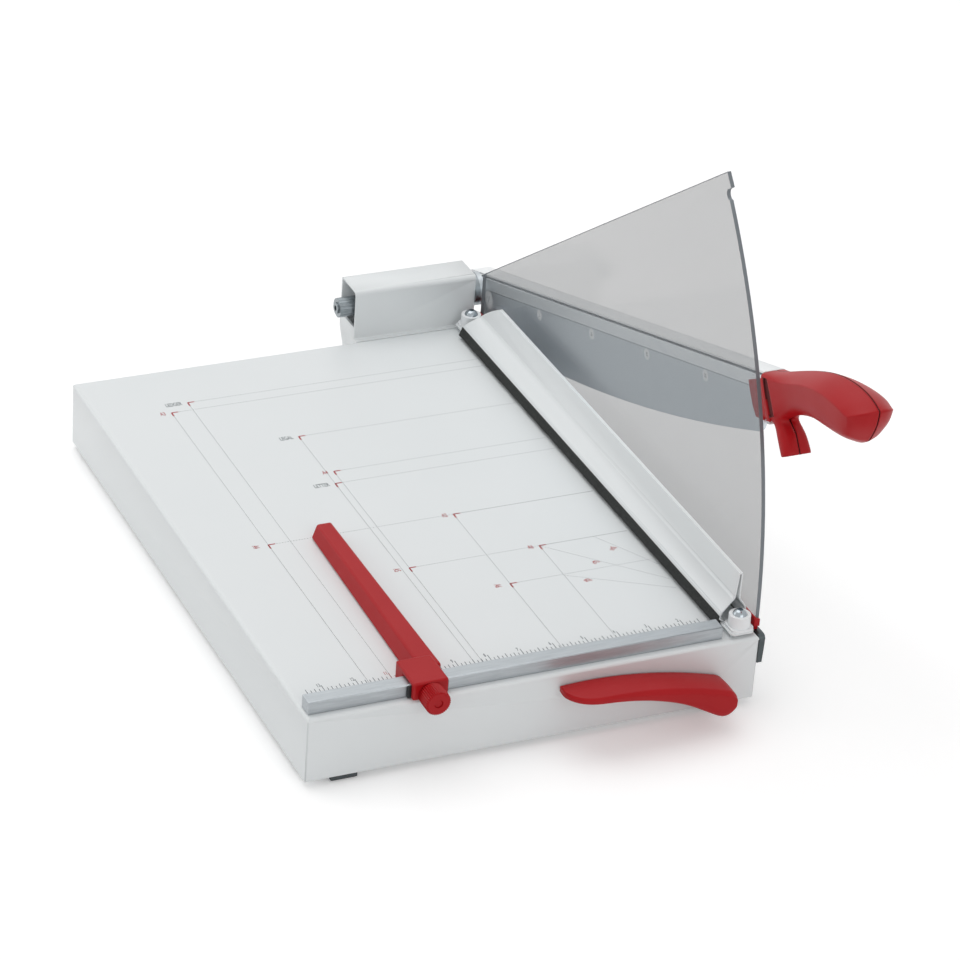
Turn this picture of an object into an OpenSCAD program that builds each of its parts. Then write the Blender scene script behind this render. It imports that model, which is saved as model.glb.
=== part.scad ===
// Lever-arm paper trimmer: folded steel table, knife arm, finger guard, paper clamp, ruler and backstop.
// The cutting plane is x = 0 with the table on its left, y = 0 is the rear face of the ruler and
// z = 0 is the table top. placed() then stands the whole machine on z = 0, centred on its box.

/* [Table] */
// Width of the folded tray
table_w = 350; // [330:1:400]
// Depth of the folded tray, front to back
table_d = 505; // [490:1:560]
// Height of the folded tray
table_h = 52; // [50:1:70]
// Thickness of the tray's sheet
sheet_t = 1.5; // [1:0.1:2]
// Outside radius of the tray's top bends
bend_r = 3; // [2.5:0.5:5]
// Width of the flange turned in along the tray's bottom
flange_w = 22; // [20:1:30]
// Reach of the tray in front of the ruler's rear face
front_lip = 17; // [16:0.5:22]
// Width of the open seam at each upright corner
seam_w = 0.8; // [0.4:0.1:1.2]

/* [Feet] */
// Side of a square rubber foot
foot_w = 20; // [16:1:22]
// Height of a foot under the tray
foot_h = 5; // [3:0.5:10]
// Bevel round the bottom of a foot
foot_bevel = 1.5; // [0.5:0.5:3]
// Distance from the tray's side to the middle of a foot
foot_in = 30; // [24:1:60]
// Distance from the tray's front or rear to the middle of a foot
foot_deep = 11; // [11:0.5:12]

/* [Ruler] */
// Depth of the ruler bar
ruler_d = 12; // [8:0.5:14]
// Height of the ruler bar
ruler_h = 10; // [8:0.5:14]
// Gap between the ruler's left end and the tray's edge
ruler_left = 2; // [1:0.5:10]
// Distance from the cutting plane to the ruler's right end
ruler_right = 33; // [32:0.5:45]
// Chamfer along the ruler's top front edge
ruler_chamfer = 0.7; // [0.3:0.1:2]

/* [Bed knife] */
// Thickness of the bed knife
knife_t = 5; // [5:0.5:7]
// Height of the bed knife
knife_h = 23; // [20:1:32]
// Relief ground under the cutting edge
knife_relief = 0.8; // [0.2:0.1:1.5]
// Radius of the bed knife's front top corner
knife_corner = 4; // [1:0.5:6]
// Number of screws along the bed knife
knife_screws_n = 6; // [4:1:8]

/* [Pivot] */
// Distance of the pivot axis behind the tray
pivot_back = 17; // [16:0.5:20]
// Height of the pivot axis above the table
pivot_up = 24; // [20:0.5:26]
// Length of the pivot housing
housing_l = 105.5; // [98:0.5:120]
// Depth of the pivot housing
housing_d = 36; // [36:0.5:44]
// Set-back of the housing's front wall behind the tray
housing_step = 4.5; // [3:0.5:4.5]
// Height of the housing's top above the table
housing_up = 42.5; // [42:0.5:55]
// Depth of the housing below the table
housing_down = 46; // [40:1:48]
// Thickness of the housing's sheet
housing_t = 2; // [1.5:0.1:2.5]
// Gap between the housing's right end and the cutting plane
housing_gap = 8.5; // [8:0.5:12]
// Length of the bearing block inside the housing
block_l = 54; // [40:1:60]
// Diameter of the pivot shaft
shaft_d = 12; // [10:0.5:13]
// Outside diameter of the splined shaft nut
nut_d = 16; // [16:0.5:20]
// Number of grooves round the shaft nut
nut_grooves = 18; // [12:1:24]
// Reach of the shaft nut out of the housing's open end
nut_out = 11; // [8:0.5:16]

/* [Arm and blade] */
// Angle of the arm above its closed position
arm_open = 17.9; // [0:0.1:35]
// Length of the arm from the pivot to the handle
arm_l = 503; // [500:1:520]
// Width across the arm and its cover
arm_w = 19.5; // [18.5:0.5:30]
// Thickness of the arm bar behind the blade
bar_t = 9; // [8:0.5:10]
// Height of the arm's top band above the pivot axis
band_h = 10.2; // [10:0.2:13]
// Depth of the arm bar below the pivot axis
bar_down = 24; // [20:0.5:28]
// Open slot between the arm's top band and the cover
cover_slot = 1.5; // [0.6:0.1:2.5]
// Thickness of the arm cover's sheet
cover_t = 1.5; // [1:0.1:2]
// Thickness of the blade
blade_t = 3; // [2.5:0.1:4]
// Greatest depth of the blade below the pivot axis
blade_deep = 48.4; // [44:0.2:54]
// Radius of the blade's curved edge
blade_r = 2150; // [1800:10:4000]
// Distance from the pivot to the deepest point of the blade
blade_low = 225; // [180:5:260]
// Spacing of the blade screws
blade_pitch = 97.4; // [90:0.1:100]

/* [Handle] */
// Distance from the cutting plane to the middle of the grip
grip_mid = 11; // [10:0.5:12]
// Greatest width of the grip
grip_w = 38; // [32:1:44]
// Open seam between the two halves
grip_seam = 0.8; // [0.4:0.1:1.2]
// Length of the tang inside the handle
tang_l = 97; // [80:1:105]

/* [Guard] */
// Thickness of the guard sheet
guard_t = 3; // [2:0.2:3]
// Gap between the guard and the cutting plane
guard_gap = 2; // [1.8:0.1:2.4]
// Radius of the guard's front edge
guard_r = 467.5; // [455:0.5:475]
// Slope of the guard's top edge
guard_slope = 35; // [30:0.5:40]
// Reach of the hook above the guard's notch
hook_out = 6.3; // [2:0.1:9]
// Height of the guard rail's underside above the table
paper_gap = 4; // [3:0.1:5]
// Height of the guard rail's wall
rail_h = 7.5; // [5:0.5:9]
// Length of the rail's end block in front of the guard
rail_end = 2.4; // [1:0.2:4]

/* [Clamp] */
// Gap under the clamp's foam at rest
clamp_gap = 3; // [3:0.1:3.5]
// Downward travel of the clamp
clamp_travel = 2.9; // [2:0.1:2.9]
// Thickness of the clamp's sheet
clamp_t = 1.2; // [0.8:0.1:1.5]
// Height of the clamp's ridge above the table
clamp_up = 44.5; // [38:0.5:55]
// Length over which the ridge is cut back at the rear
clamp_cut = 43; // [20:1:60]
// Diameter of a clamp post
post_d = 6; // [5:0.5:7]
// Distance from the cutting plane to the posts
post_in = 17.5; // [16.5:0.5:18.5]
// Distance from the tray's front or rear face to a post
post_edge = 10; // [9.5:0.5:10.5]
// Height of a post sleeve
sleeve_h = 11; // [8:0.5:16]
// Wire diameter of the return springs
spring_wire = 1.2; // [0.8:0.1:1.4]
// Turns of each return spring
spring_turns = 3; // [2:0.5:3.5]

/* [Clamp lever] */
// Distance from the cutting plane to the lever shaft
lever_in = 43.5; // [42:0.5:48]
// Depth of the lever shaft below the table
lever_down = 33.5; // [33:0.5:35]
// Diameter of the lever shaft
lever_shaft_d = 10; // [8:0.5:10]
// Reach of the lever from its shaft to the tip
lever_l = 121; // [100:1:130]
// Depth of the lever in front of the tray
lever_d = 27.5; // [22:0.5:34]
// Height of the lever at its hub
lever_hub = 22; // [20:0.5:24]
// Thickness of the lever at its tip
lever_tip = 5.5; // [4:0.5:8]
// Rise of the lever's middle line over its hub
lever_rise = 22.5; // [18:0.5:22.5]
// Distance between the lever shaft and the crank pins
crank_r = 12; // [12:0.5:16]

/* [Backstop] */
// Distance from the cutting plane to the stop face
stop_at = 248; // [180:1:310]
// Length of the backstop behind the ruler
stop_l = 209; // [150:1:280]
// Width of the clamping block on the ruler
block_w = 26.8; // [24:0.2:34]
// Diameter of the thumb knob
knob_d = 19; // [16:0.5:20]
// Length of the thumb knob
knob_l = 14; // [8:0.5:16]

/* [Fits] */
// Running clearance on the radius of shafts and pins
fit = 0.05; // [0.02:0.01:0.09]
// Clearance between pieces that sit side by side
gap = 0.2; // [0.1:0.05:0.3]

/* [Hidden] */
$fn = 48;
// Small overlap that lets a cut pass cleanly through a face
eps = 1;

// Colours
paint = "#DDE1E3";
red = "#B4222A";
steel = "#9CA4AA";
zinc = "#B5BDC3";
dark = "#4A5052";
black = "#2E3131";
white = "#E9ECEE";
bronze = "#B08D57";

// Places of the main pieces
tray_x1 = -knife_t;
tray_x0 = tray_x1 - table_w;
tray_y0 = -front_lip;
tray_y1 = tray_y0 + table_d;
top_in = -sheet_t;
flange_z = -table_h + sheet_t;
pivot_y = tray_y1 + pivot_back;
pivot_z = pivot_up;
housing_x1 = -housing_gap;
housing_x0 = housing_x1 - housing_l;
housing_y1 = tray_y1 + housing_d;
post_x = -post_in;
post_ys = [tray_y0 + post_edge, tray_y1 - post_edge];
lever_x = -lever_in;
lever_z = -lever_down;

// Screws: shank and head sizes shared by the hidden fasteners
screw_d = 4;
screw_head_d = 7;
screw_head_h = 2.5;

// The whole box, for the place of the origin
grip_end = [150.3, 9.5];
tip_s = arm_l + grip_end[0];
tip_y = pivot_y - tip_s * cos(arm_open) + grip_end[1] * sin(arm_open);
block_head_h = 1.8;
back_y = housing_y1 + block_head_h;
stand = [-(tray_x0 + grip_mid + grip_w / 2) / 2, -(tip_y + back_y) / 2, table_h + foot_h];

// Vector helpers
function unit(v) = v / norm(v);
function left_of(v) = [-v[1], v[0]];

// One point of a line, moved t to its left with mitred corners
function moved(p, i, t) =
    let (a = i == 0 ? p[1] - p[0] : p[i] - p[i - 1])
    let (b = i == len(p) - 1 ? a : p[i + 1] - p[i])
    let (na = left_of(unit(a)), nb = left_of(unit(b)))
    p[i] + (na + nb) * t / (1 + na * nb);

// Outline of a folded sheet: the line is its outside, and the sheet lies to the line's left
function folded(p, t) = concat(p, [for (i = [len(p) - 1:-1:0]) moved(p, i, t)]);

// A line whose inner corners are rounded, each over its own length d
function bent(p, d) = concat([p[0]], [
    for (i = [1:len(p) - 2])
        let (a = unit(p[i] - p[i - 1]), b = unit(p[i + 1] - p[i]))
        for (k = d[i - 1] > 0 ? [0:1 / bend_steps:1] : [0.5:0.5])
            (1 - k) * (1 - k) * (p[i] - a * d[i - 1]) + 2 * k * (1 - k) * p[i] + k * k * (p[i] + b * d[i - 1])
    ], [p[len(p) - 1]]);
bend_steps = 4;

// A smooth curve through rows of numbers, with t from 0 to 1
function row(p, i) = p[max(0, min(len(p) - 1, i))];
function curve(p, t) =
    let (i = min(floor(t * (len(p) - 1)), len(p) - 2), u = t * (len(p) - 1) - i)
    let (a = row(p, i - 1), b = row(p, i), c = row(p, i + 1), d = row(p, i + 2))
    (2 * b + (c - a) * u + (2 * a - 5 * b + 4 * c - d) * u * u + (3 * b - a - 3 * c + d) * u * u * u) / 2;

// Placing helpers
module placed() translate(stand) children();
module at_pivot() translate([0, pivot_y, pivot_z]) children();
module arm_frame() placed() at_pivot() rotate([-arm_open, 0, 0]) children();
module at_lever() translate([lever_x, 0, lever_z]) children();
module at_posts() for (y = post_ys) translate([post_x, y, 0]) children();

// Shape helpers: a box from corner to corner, rods and profiles along an axis
module block(a, b) translate(a) cube(b - a);
module rod_x(x0, x1, d) translate([x0, 0, 0]) rotate([0, 90, 0]) cylinder(h = x1 - x0, d = d);
module rod_y(y0, y1, d) translate([0, y0, 0]) rotate([-90, 0, 0]) cylinder(h = y1 - y0, d = d);
module rod_z(z0, z1, d) translate([0, 0, z0]) cylinder(h = z1 - z0, d = d);
module along_x(x0, x1) translate([x0, 0, 0]) rotate([90, 0, 90]) linear_extrude(x1 - x0) children();
module along_y(y0, y1) translate([0, y1, 0]) rotate([90, 0, 0]) linear_extrude(y1 - y0) children();

// A rectangle with round top corners
module arch(x0, x1, z0, z1, r) {
    translate([x0, z0]) square([x1 - x0, z1 - z0 - r]);
    translate([x0 + r, z0]) square([x1 - x0 - 2 * r, z1 - z0]);
    for (x = [x0 + r, x1 - r]) translate([x, z1 - r]) circle(r);
}

// A flat plate with round corners
module plate(x0, y0, x1, y1, z0, z1, r) {
    block([x0 + r, y0, z0], [x1 - r, y1, z1]);
    block([x0, y0 + r, z0], [x1, y1 - r, z1]);
    for (x = [x0 + r, x1 - r], y = [y0 + r, y1 - r]) translate([x, y, 0]) rod_z(z0, z1, 2 * r);
}

// Table: the tray's outside or inside, set in by the given amount
module tray_block(in, z0, z1, r) {
    intersection() {
        along_y(tray_y0 + in, tray_y1 - in) arch(tray_x0 + in, tray_x1 - in, z0, z1, r);
        along_x(tray_x0 + in, tray_x1 - in) arch(tray_y0 + in, tray_y1 - in, z0, z1, r);
    }
}

foot_xs = [tray_x0 + foot_in, tray_x1 - foot_in];
foot_ys = [tray_y0 + foot_deep, tray_y1 - foot_deep];
module at_feet() for (x = foot_xs, y = foot_ys) translate([x, y, -table_h]) children();

ruler_x0 = tray_x0 + ruler_left;
ruler_x1 = -ruler_right;
ruler_screw_n = 3;
ruler_screw_end = 30;
module at_ruler_screws() {
    step = (ruler_x1 - ruler_x0 - 2 * ruler_screw_end) / (ruler_screw_n - 1);
    for (k = [0:ruler_screw_n - 1])
        translate([ruler_x0 + ruler_screw_end + k * step, -ruler_d / 2, 0]) children();
}

knife_screw_end = 40;
knife_screw_z = -knife_h * 0.65;
module at_knife_screws() {
    step = (table_d - 2 * knife_screw_end) / (knife_screws_n - 1);
    for (k = [0:knife_screws_n - 1])
        translate([0, tray_y0 + knife_screw_end + k * step, knife_screw_z]) children();
}

housing_screw_in = 14;
housing_screw_zs = [-14, -32];
housing_screw_xs = [housing_x0 + housing_screw_in, housing_x1 - housing_screw_in];
module at_housing_screws() {
    for (x = housing_screw_xs, z = housing_screw_zs) translate([x, tray_y1, z]) children();
}

lever_bush_d = lever_shaft_d + 4;
guide_d = post_d + 4;

// Slits part the side flanges from the front and rear ones
flange_slit = 1;
module base_tray() {
    color(paint) placed() difference() {
        tray_block(0, -table_h, 0, bend_r);
        tray_block(sheet_t, flange_z, top_in, bend_r - sheet_t);
        block([tray_x0 + flange_w, tray_y0 + flange_w, -table_h - eps],
            [tray_x1 - flange_w, tray_y1 - flange_w, flange_z + eps]);
        for (x = [tray_x0, tray_x1 - seam_w], y = [tray_y0, tray_y1 - seam_w])
            block([x, y, -table_h - eps], [x + seam_w, y + seam_w, -bend_r]);
        for (x = [tray_x0 + sheet_t, tray_x1 - flange_w - eps],
             y = [tray_y0 + flange_w - eps, tray_y1 - flange_w - flange_slit])
            block([x, y, -table_h - eps],
                [x + flange_w - sheet_t + eps, y + flange_slit + eps, flange_z + eps]);
        at_posts() rod_z(-sheet_t - eps, eps, guide_d);
        at_ruler_screws() rod_z(-sheet_t - eps, eps, screw_d + 2 * fit);
        at_feet() rod_z(-eps, sheet_t + eps, screw_d + 2 * fit);
        at_knife_screws() rod_x(tray_x1 - sheet_t - eps, tray_x1 + eps, screw_d + 2 * fit);
        at_housing_screws() rod_y(-sheet_t - eps, eps, screw_d + 2 * fit);
        at_lever() rod_y(tray_y0 - eps, tray_y0 + sheet_t + eps, lever_bush_d);
        at_lever() rod_y(tray_y1 - sheet_t - eps, tray_y1 + eps, lever_bush_d);
    }
}

foot_screw_in = 3;
module foot_side() {
    w = foot_w / 2;
    polygon([[-w, 0], [-w, foot_bevel - foot_h], [foot_bevel - w, -foot_h],
        [w - foot_bevel, -foot_h], [w, foot_bevel - foot_h], [w, 0]]);
}
module rubber_feet() {
    color(dark) placed() at_feet() difference() {
        intersection() {
            along_x(-foot_w / 2, foot_w / 2) foot_side();
            along_y(-foot_w / 2, foot_w / 2) foot_side();
        }
        rod_z(-foot_screw_in - gap, eps, screw_d + 2 * fit);
    }
}
module foot_screws() {
    color(steel) placed() at_feet() {
        rod_z(-foot_screw_in + gap, sheet_t, screw_d);
        rod_z(sheet_t, sheet_t + screw_head_h, screw_head_d);
    }
}

ruler_screw_in = 7;
module side_ruler() {
    color(zinc) placed() difference() {
        along_x(ruler_x0, ruler_x1) polygon([[-ruler_d, 0], [-ruler_d, ruler_h - ruler_chamfer],
            [ruler_chamfer - ruler_d, ruler_h], [0, ruler_h], [0, 0]]);
        at_ruler_screws() rod_z(-eps, ruler_screw_in, screw_d + 2 * fit);
    }
}
module ruler_screws() {
    color(steel) placed() at_ruler_screws() {
        rod_z(-sheet_t, ruler_screw_in - gap, screw_d);
        rod_z(-sheet_t - screw_head_h, -sheet_t, screw_head_d);
    }
}

// Guard rail: two feet stand on the bed knife, and a peg under each holds it there
rail_wall = 1.4;
rail_clear = 0.1;
guard_x1 = -guard_gap;
guard_x0 = guard_x1 - guard_t;
rail_x0 = guard_x0 - rail_clear - rail_wall;
rail_floor = 1.4;
rail_foot_l = 10;
guard_z0 = paper_gap + rail_floor + rail_clear;
guard_up_y = 45.2;
guard_up_z = 17;
guard_cy = pivot_y - guard_up_y;
guard_cz = pivot_z - guard_up_z;
rail_y0 = guard_cy - sqrt(guard_r * guard_r - pow(guard_z0 - guard_cz, 2));
rail_y1 = tray_y1 - 1;
rail_front = rail_y0 - rail_end;
rail_end_h = 6;
peg_d = 2;
peg_l = 4;
module at_pegs() {
    for (y = [rail_y0 + rail_foot_l / 2, rail_y1 - rail_foot_l / 2])
        translate([(guard_x0 + guard_x1) / 2, y, 0]) children();
}

knife_land = 8;
module knife_side() {
    translate([tray_y0 + knife_corner, -knife_h]) square([table_d - knife_corner, knife_h]);
    translate([tray_y0, -knife_h]) square([table_d, knife_h - knife_corner]);
    translate([tray_y0 + knife_corner, -knife_corner]) circle(knife_corner);
}
knife_screw_in = 4;
module bed_knife() {
    color(dark) placed() difference() {
        intersection() {
            along_y(tray_y0, tray_y1) polygon([[-knife_t, 0], [-knife_t, -knife_h],
                [-knife_relief, -knife_h], [0, -knife_land], [0, 0]]);
            along_x(-knife_t, 0) knife_side();
        }
        at_knife_screws() rod_x(-knife_t - eps, knife_screw_in - knife_t, screw_d + 2 * fit);
        at_pegs() rod_z(-peg_l - gap, eps, peg_d + 2 * fit);
    }
}
module knife_screws() {
    color(steel) placed() at_knife_screws() {
        rod_x(tray_x1 - sheet_t, knife_screw_in - gap - knife_t, screw_d);
        rod_x(tray_x1 - sheet_t - screw_head_h, tray_x1 - sheet_t, screw_head_d);
    }
}

// Pivot housing: a folded channel with a sloping back and a gusset under its open end
housing_slope_z = -2;
housing_foot = 12;
gusset_z = 9.5;
ledge_z = -0.3;
housing_y0 = tray_y1 + housing_step;
housing_line = [[tray_y1 + housing_foot, -housing_down], [housing_y1, housing_slope_z],
    [housing_y1, housing_up], [housing_y0, housing_up], [housing_y0, ledge_z], [tray_y1, ledge_z],
    [tray_y1, -housing_down]];
housing_bends = [3, 4, 4, 1, 0];
block_y0 = housing_y0 + housing_t + gap;
block_y1 = housing_y1 - housing_t - gap;
block_x0 = housing_x1 - block_l;
block_z0 = 2.5;
block_z1 = housing_up - housing_t - gap;
block_chamfer = 2.5;
block_screw_in = 10;
block_screw_edge = 4.5;
block_screw_depth = 6;
module at_block_screws() {
    for (x = [block_x0 + block_screw_in, housing_x1 - block_screw_in],
         z = [block_z0 + block_screw_edge, block_z1 - block_screw_edge])
        translate([x, housing_y1, z]) children();
}
module pivot_housing() {
    in = housing_t / 2;
    color(paint) placed() difference() {
        union() {
            along_x(housing_x0, housing_x1) polygon(folded(bent(housing_line, housing_bends), housing_t));
            along_x(housing_x0, housing_x0 + housing_t) polygon([[tray_y1 + in, -housing_down],
                [tray_y1 + housing_foot - in, -housing_down], [housing_y1 - in, housing_slope_z],
                [housing_y1 - in, gusset_z], [housing_y0 + in, gusset_z],
                [housing_y0 + in, ledge_z - in], [tray_y1 + in, ledge_z - in]]);
        }
        at_housing_screws() rod_y(-eps, housing_t + eps, screw_d + 2 * fit);
        at_block_screws() rod_y(-housing_t - eps, eps, screw_d + 2 * fit);
    }
}
housing_nut_h = 3;
housing_nut_d = 8;
module housing_screws() {
    color(steel) placed() at_housing_screws() {
        rod_y(-sheet_t, housing_t + housing_nut_h + eps, screw_d);
        rod_y(-sheet_t - screw_head_h, -sheet_t, screw_head_d);
    }
}
module housing_nuts() {
    color(steel) placed() at_housing_screws() difference() {
        rotate([-90, 0, 0]) translate([0, 0, housing_t])
            cylinder(h = housing_nut_h, d = housing_nut_d, $fn = 6);
        rod_y(0, housing_t + housing_nut_h + eps, screw_d + 2 * fit);
    }
}

// Pivot: block, bushes, shaft, washers and the splined nut that sets the friction
pivot_bush_d = shaft_d + 4;
pivot_bush_l = 14;
module pivot_block() {
    color(dark) placed() difference() {
        along_x(block_x0, housing_x1) polygon([[block_y0, block_z0], [block_y1, block_z0],
            [block_y1, block_z1 - block_chamfer], [block_y1 - block_chamfer, block_z1],
            [block_y0 + block_chamfer, block_z1], [block_y0, block_z1 - block_chamfer]]);
        at_pivot() rod_x(block_x0 - eps, housing_x1 + eps, pivot_bush_d + 2 * fit);
        at_block_screws() rod_y(-housing_t - gap - block_screw_depth, eps, screw_d + 2 * fit);
    }
}
module block_screws() {
    color(steel) placed() at_block_screws() {
        rod_y(-housing_t - block_screw_depth, 0, screw_d);
        rod_y(0, block_head_h, screw_head_d);
    }
}
module pivot_bushes() {
    color(bronze) placed() at_pivot() for (x = [block_x0, housing_x1 - pivot_bush_l]) difference() {
        rod_x(x, x + pivot_bush_l, pivot_bush_d);
        rod_x(x - eps, x + pivot_bush_l + eps, shaft_d + 2 * fit);
    }
}
washer_d = 28;
hub_washer_t = 4;
module thrust_washer() {
    color(bronze) placed() at_pivot() difference() {
        rod_x(housing_x1, -hub_washer_t - rail_clear, washer_d);
        rod_x(housing_x1 - eps, eps, shaft_d + 2 * fit);
    }
}
module hub_washer() {
    color(steel) arm_frame() difference() {
        rod_x(-hub_washer_t, 0, washer_d);
        rod_x(-hub_washer_t - eps, eps, shaft_d + 2 * fit);
    }
}
disc_n = 4;
disc_t = 1;
disc_dish = 1;
disc_d = shaft_d + 6.5;
disc_step = disc_t + disc_dish + rail_clear;
disc_x1 = block_x0 - rail_clear;
nut_x1 = disc_x1 - disc_n * disc_step;
nut_x0 = housing_x0 - nut_out;
shaft_x0 = housing_x0 + 2;
nut_screw_d = 5;
nut_screw_head_d = 9;
nut_screw_head_h = 4;
nut_screw_in = 11;
nut_recess = 2.5;
module spring_washers() {
    ri = shaft_d / 2 + gap;
    ro = disc_d / 2;
    color(steel) arm_frame() for (k = [0:disc_n - 1])
        translate([disc_x1 - (k + 1) * disc_step, 0, 0]) rotate([0, 90, 0]) rotate_extrude() {
            up = k % 2;
            a = up * disc_dish;
            b = (1 - up) * disc_dish;
            polygon([[ri, a], [ro, b], [ro, b + disc_t], [ri, a + disc_t]]);
        }
}
module shaft_nut() {
    groove_r = PI * nut_d / nut_grooves / 4;
    color(steel) arm_frame() difference() {
        rod_x(nut_x0, nut_x1, nut_d);
        rod_x(shaft_x0 - gap, nut_x1 + eps, shaft_d + 2 * fit);
        rod_x(nut_x0 - eps, shaft_x0, nut_screw_d + 2 * fit);
        rod_x(nut_x0 - eps, nut_x0 + nut_recess, nut_screw_head_d + 2 * gap);
        for (k = [0:nut_grooves - 1]) rotate([k * 360 / nut_grooves, 0, 0])
            translate([0, 0, nut_d / 2 + groove_r / 4])
                rod_x(nut_x0 - eps, nut_x1 + eps, 2 * groove_r, $fn = 16);
    }
}
module nut_screw() {
    head_x1 = nut_x0 + nut_recess;
    color(steel) arm_frame() difference() {
        union() {
            rod_x(head_x1 - nut_screw_head_h, head_x1, nut_screw_head_d);
            rod_x(head_x1, shaft_x0 + nut_screw_in - gap, nut_screw_d);
        }
        translate([head_x1 - nut_screw_head_h - eps, 0, 0]) rotate([0, 90, 0])
            cylinder(h = nut_recess + eps, d = nut_screw_d, $fn = 6);
    }
}
cut_gap = 0.05;
blade_x1 = cut_gap + blade_t;
bar_x1 = blade_x1 + bar_t;
head_t = 2.5;
head_d = 20;
hub_out = 1.5;
hub_x1 = bar_x1 + hub_out;
module pivot_shaft() {
    color(steel) arm_frame() difference() {
        union() {
            rod_x(shaft_x0, hub_x1, shaft_d);
            rod_x(hub_x1, hub_x1 + head_t, head_d);
        }
        rod_x(shaft_x0 - eps, shaft_x0 + nut_screw_in, nut_screw_d + 2 * fit);
    }
}

// Arm: y runs towards the pivot's rear, so the arm reaches along -y from the pivot axis
blade_s0 = 8.3;
boss_d = 2 * (blade_s0 - gap) - 0.6;
hub_r = band_h - rail_clear;
band_z0 = 0.35;
blade_z1 = 0.2;
tang_h = 14;
tang_t = 6;
tang_x0 = bar_x1 - tang_t;
handle_screw_at = [40, 84];
handle_screw_ss = [for (s = handle_screw_at) arm_l + s];
handle_screw_z = 3;
big_screw = [20.4, -7];
first_step = 100;
small_screw_s = big_screw[0] + first_step;
small_screw_z = -4.5;
small_screw_n = 4;
blade_screw_in = 11;
module at_small_screws() {
    for (k = [0:small_screw_n - 1])
        translate([0, -small_screw_s - k * blade_pitch, small_screw_z]) children();
}
module at_big_screw() translate([0, -big_screw[0], big_screw[1]]) children();
module at_handle_screws() for (s = handle_screw_ss) translate([0, -s, handle_screw_z]) children();

module arm_bar() {
    color(zinc) arm_frame() difference() {
        union() {
            rod_x(blade_x1, hub_x1, 2 * hub_r);
            rod_x(0, blade_x1 + eps, boss_d);
            block([blade_x1, -arm_l, -bar_down], [bar_x1, -blade_s0, band_h]);
            block([cut_gap, -arm_l, band_z0], [blade_x1 + eps, -blade_s0, band_h]);
            block([tang_x0, -arm_l - tang_l, -tang_h / 2], [bar_x1, -arm_l + eps, tang_h / 2]);
        }
        rod_x(-eps, hub_x1 + eps, shaft_d + 2 * fit);
        at_small_screws() rod_x(0, blade_screw_in + gap, small_shank_d + 2 * fit);
        at_big_screw() rod_x(0, blade_screw_in + gap, big_shank_d + 2 * fit);
        at_handle_screws() rod_x(tang_x0 - eps, bar_x1 + eps, screw_d + 2 * fit);
    }
}

cover_in = 1.2;
cover_rear = 15;
cover_bottom = bar_down + gap + cover_t;
cover_top = band_h + cover_slot + cover_t;
module arm_cover() {
    line = [[blade_x1 + eps, -cover_bottom], [arm_w, -cover_bottom],
        [arm_w, cover_top], [cover_in, cover_top]];
    color(paint) arm_frame() along_y(-arm_l, cover_rear) polygon(folded(bent(line, [3, 3]), cover_t));
}

// Blade: a flat plate whose lower edge is a long arc, with a round front corner
blade_end = arm_l - 0.5;
blade_corner = 12;
edge_steps = 24;
function edge_z(s) = sqrt(blade_r * blade_r - pow(s - blade_low, 2)) * -1 + blade_r - blade_deep;
blade_edge = [for (k = [0:edge_steps])
    let (s = blade_s0 + k * (blade_end - blade_corner - blade_s0) / edge_steps) [-s, edge_z(s)]];
corner_z = edge_z(blade_end - blade_corner) + blade_corner;
blade_tip = [for (a = [75:-15:0])
    [-(blade_end - blade_corner + blade_corner * cos(a)), corner_z - blade_corner * sin(a)]];
small_shank_d = 5;
small_head_d = 9;
big_shank_d = 8;
big_head_d = 15;
blade_head_h = 2;
module countersink(head_d, shank_d, clear) {
    rod_x(-eps, cut_gap + clear, head_d + 2 * clear);
    translate([cut_gap + clear, 0, 0]) rotate([0, 90, 0])
        cylinder(h = blade_head_h, d1 = head_d + 2 * clear, d2 = shank_d + 2 * clear);
    rod_x(cut_gap + blade_head_h, blade_x1 + eps, shank_d + 2 * clear);
}
module blade() {
    color(steel) arm_frame() difference() {
        along_x(cut_gap, blade_x1)
            polygon(concat([[-blade_s0, blade_z1]], blade_edge, blade_tip, [[-blade_end, blade_z1]]));
        at_small_screws() countersink(small_head_d, small_shank_d, fit);
        at_big_screw() countersink(big_head_d, big_shank_d, fit);
    }
}
module blade_screw(head_d, shank_d) {
    difference() {
        union() {
            translate([cut_gap, 0, 0]) rotate([0, 90, 0])
                cylinder(h = blade_head_h, d1 = head_d, d2 = shank_d);
            rod_x(cut_gap + blade_head_h, blade_screw_in, shank_d);
        }
        for (a = [45, 135]) rotate([a, 0, 0])
            block([-eps, -head_d / 4, -head_d / 16], [cut_gap + blade_head_h / 2, head_d / 4, head_d / 16]);
    }
}
module blade_screws() {
    color(zinc) arm_frame() {
        at_small_screws() blade_screw(small_head_d, small_shank_d);
        at_big_screw() blade_screw(big_head_d, big_shank_d);
    }
}

// Handle: each half is a loft over rows of top and bottom points and half widths.
// The points are distances beyond the arm's end and heights above the pivot axis.
grip_heel = [133, -13.4];
grip_rows = [[4, 12.6, 5, -22, grip_w * 0.31], [36, 18.3, 34, -14, grip_w * 0.31],
    [70, 23.2, 58, -11.6, grip_w * 0.38], [102, 25, 84, -13.6, grip_w * 0.45],
    [122, 22.2, 104, -16, grip_w * 0.49],
    [138, 16.6, 119, -16.4, grip_w * 0.5], [147, 11.6, 129, -14.6, grip_w * 0.42],
    [grip_end[0], grip_end[1], grip_heel[0], grip_heel[1], grip_w * 0.2]];
grip_steps = 21;
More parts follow.
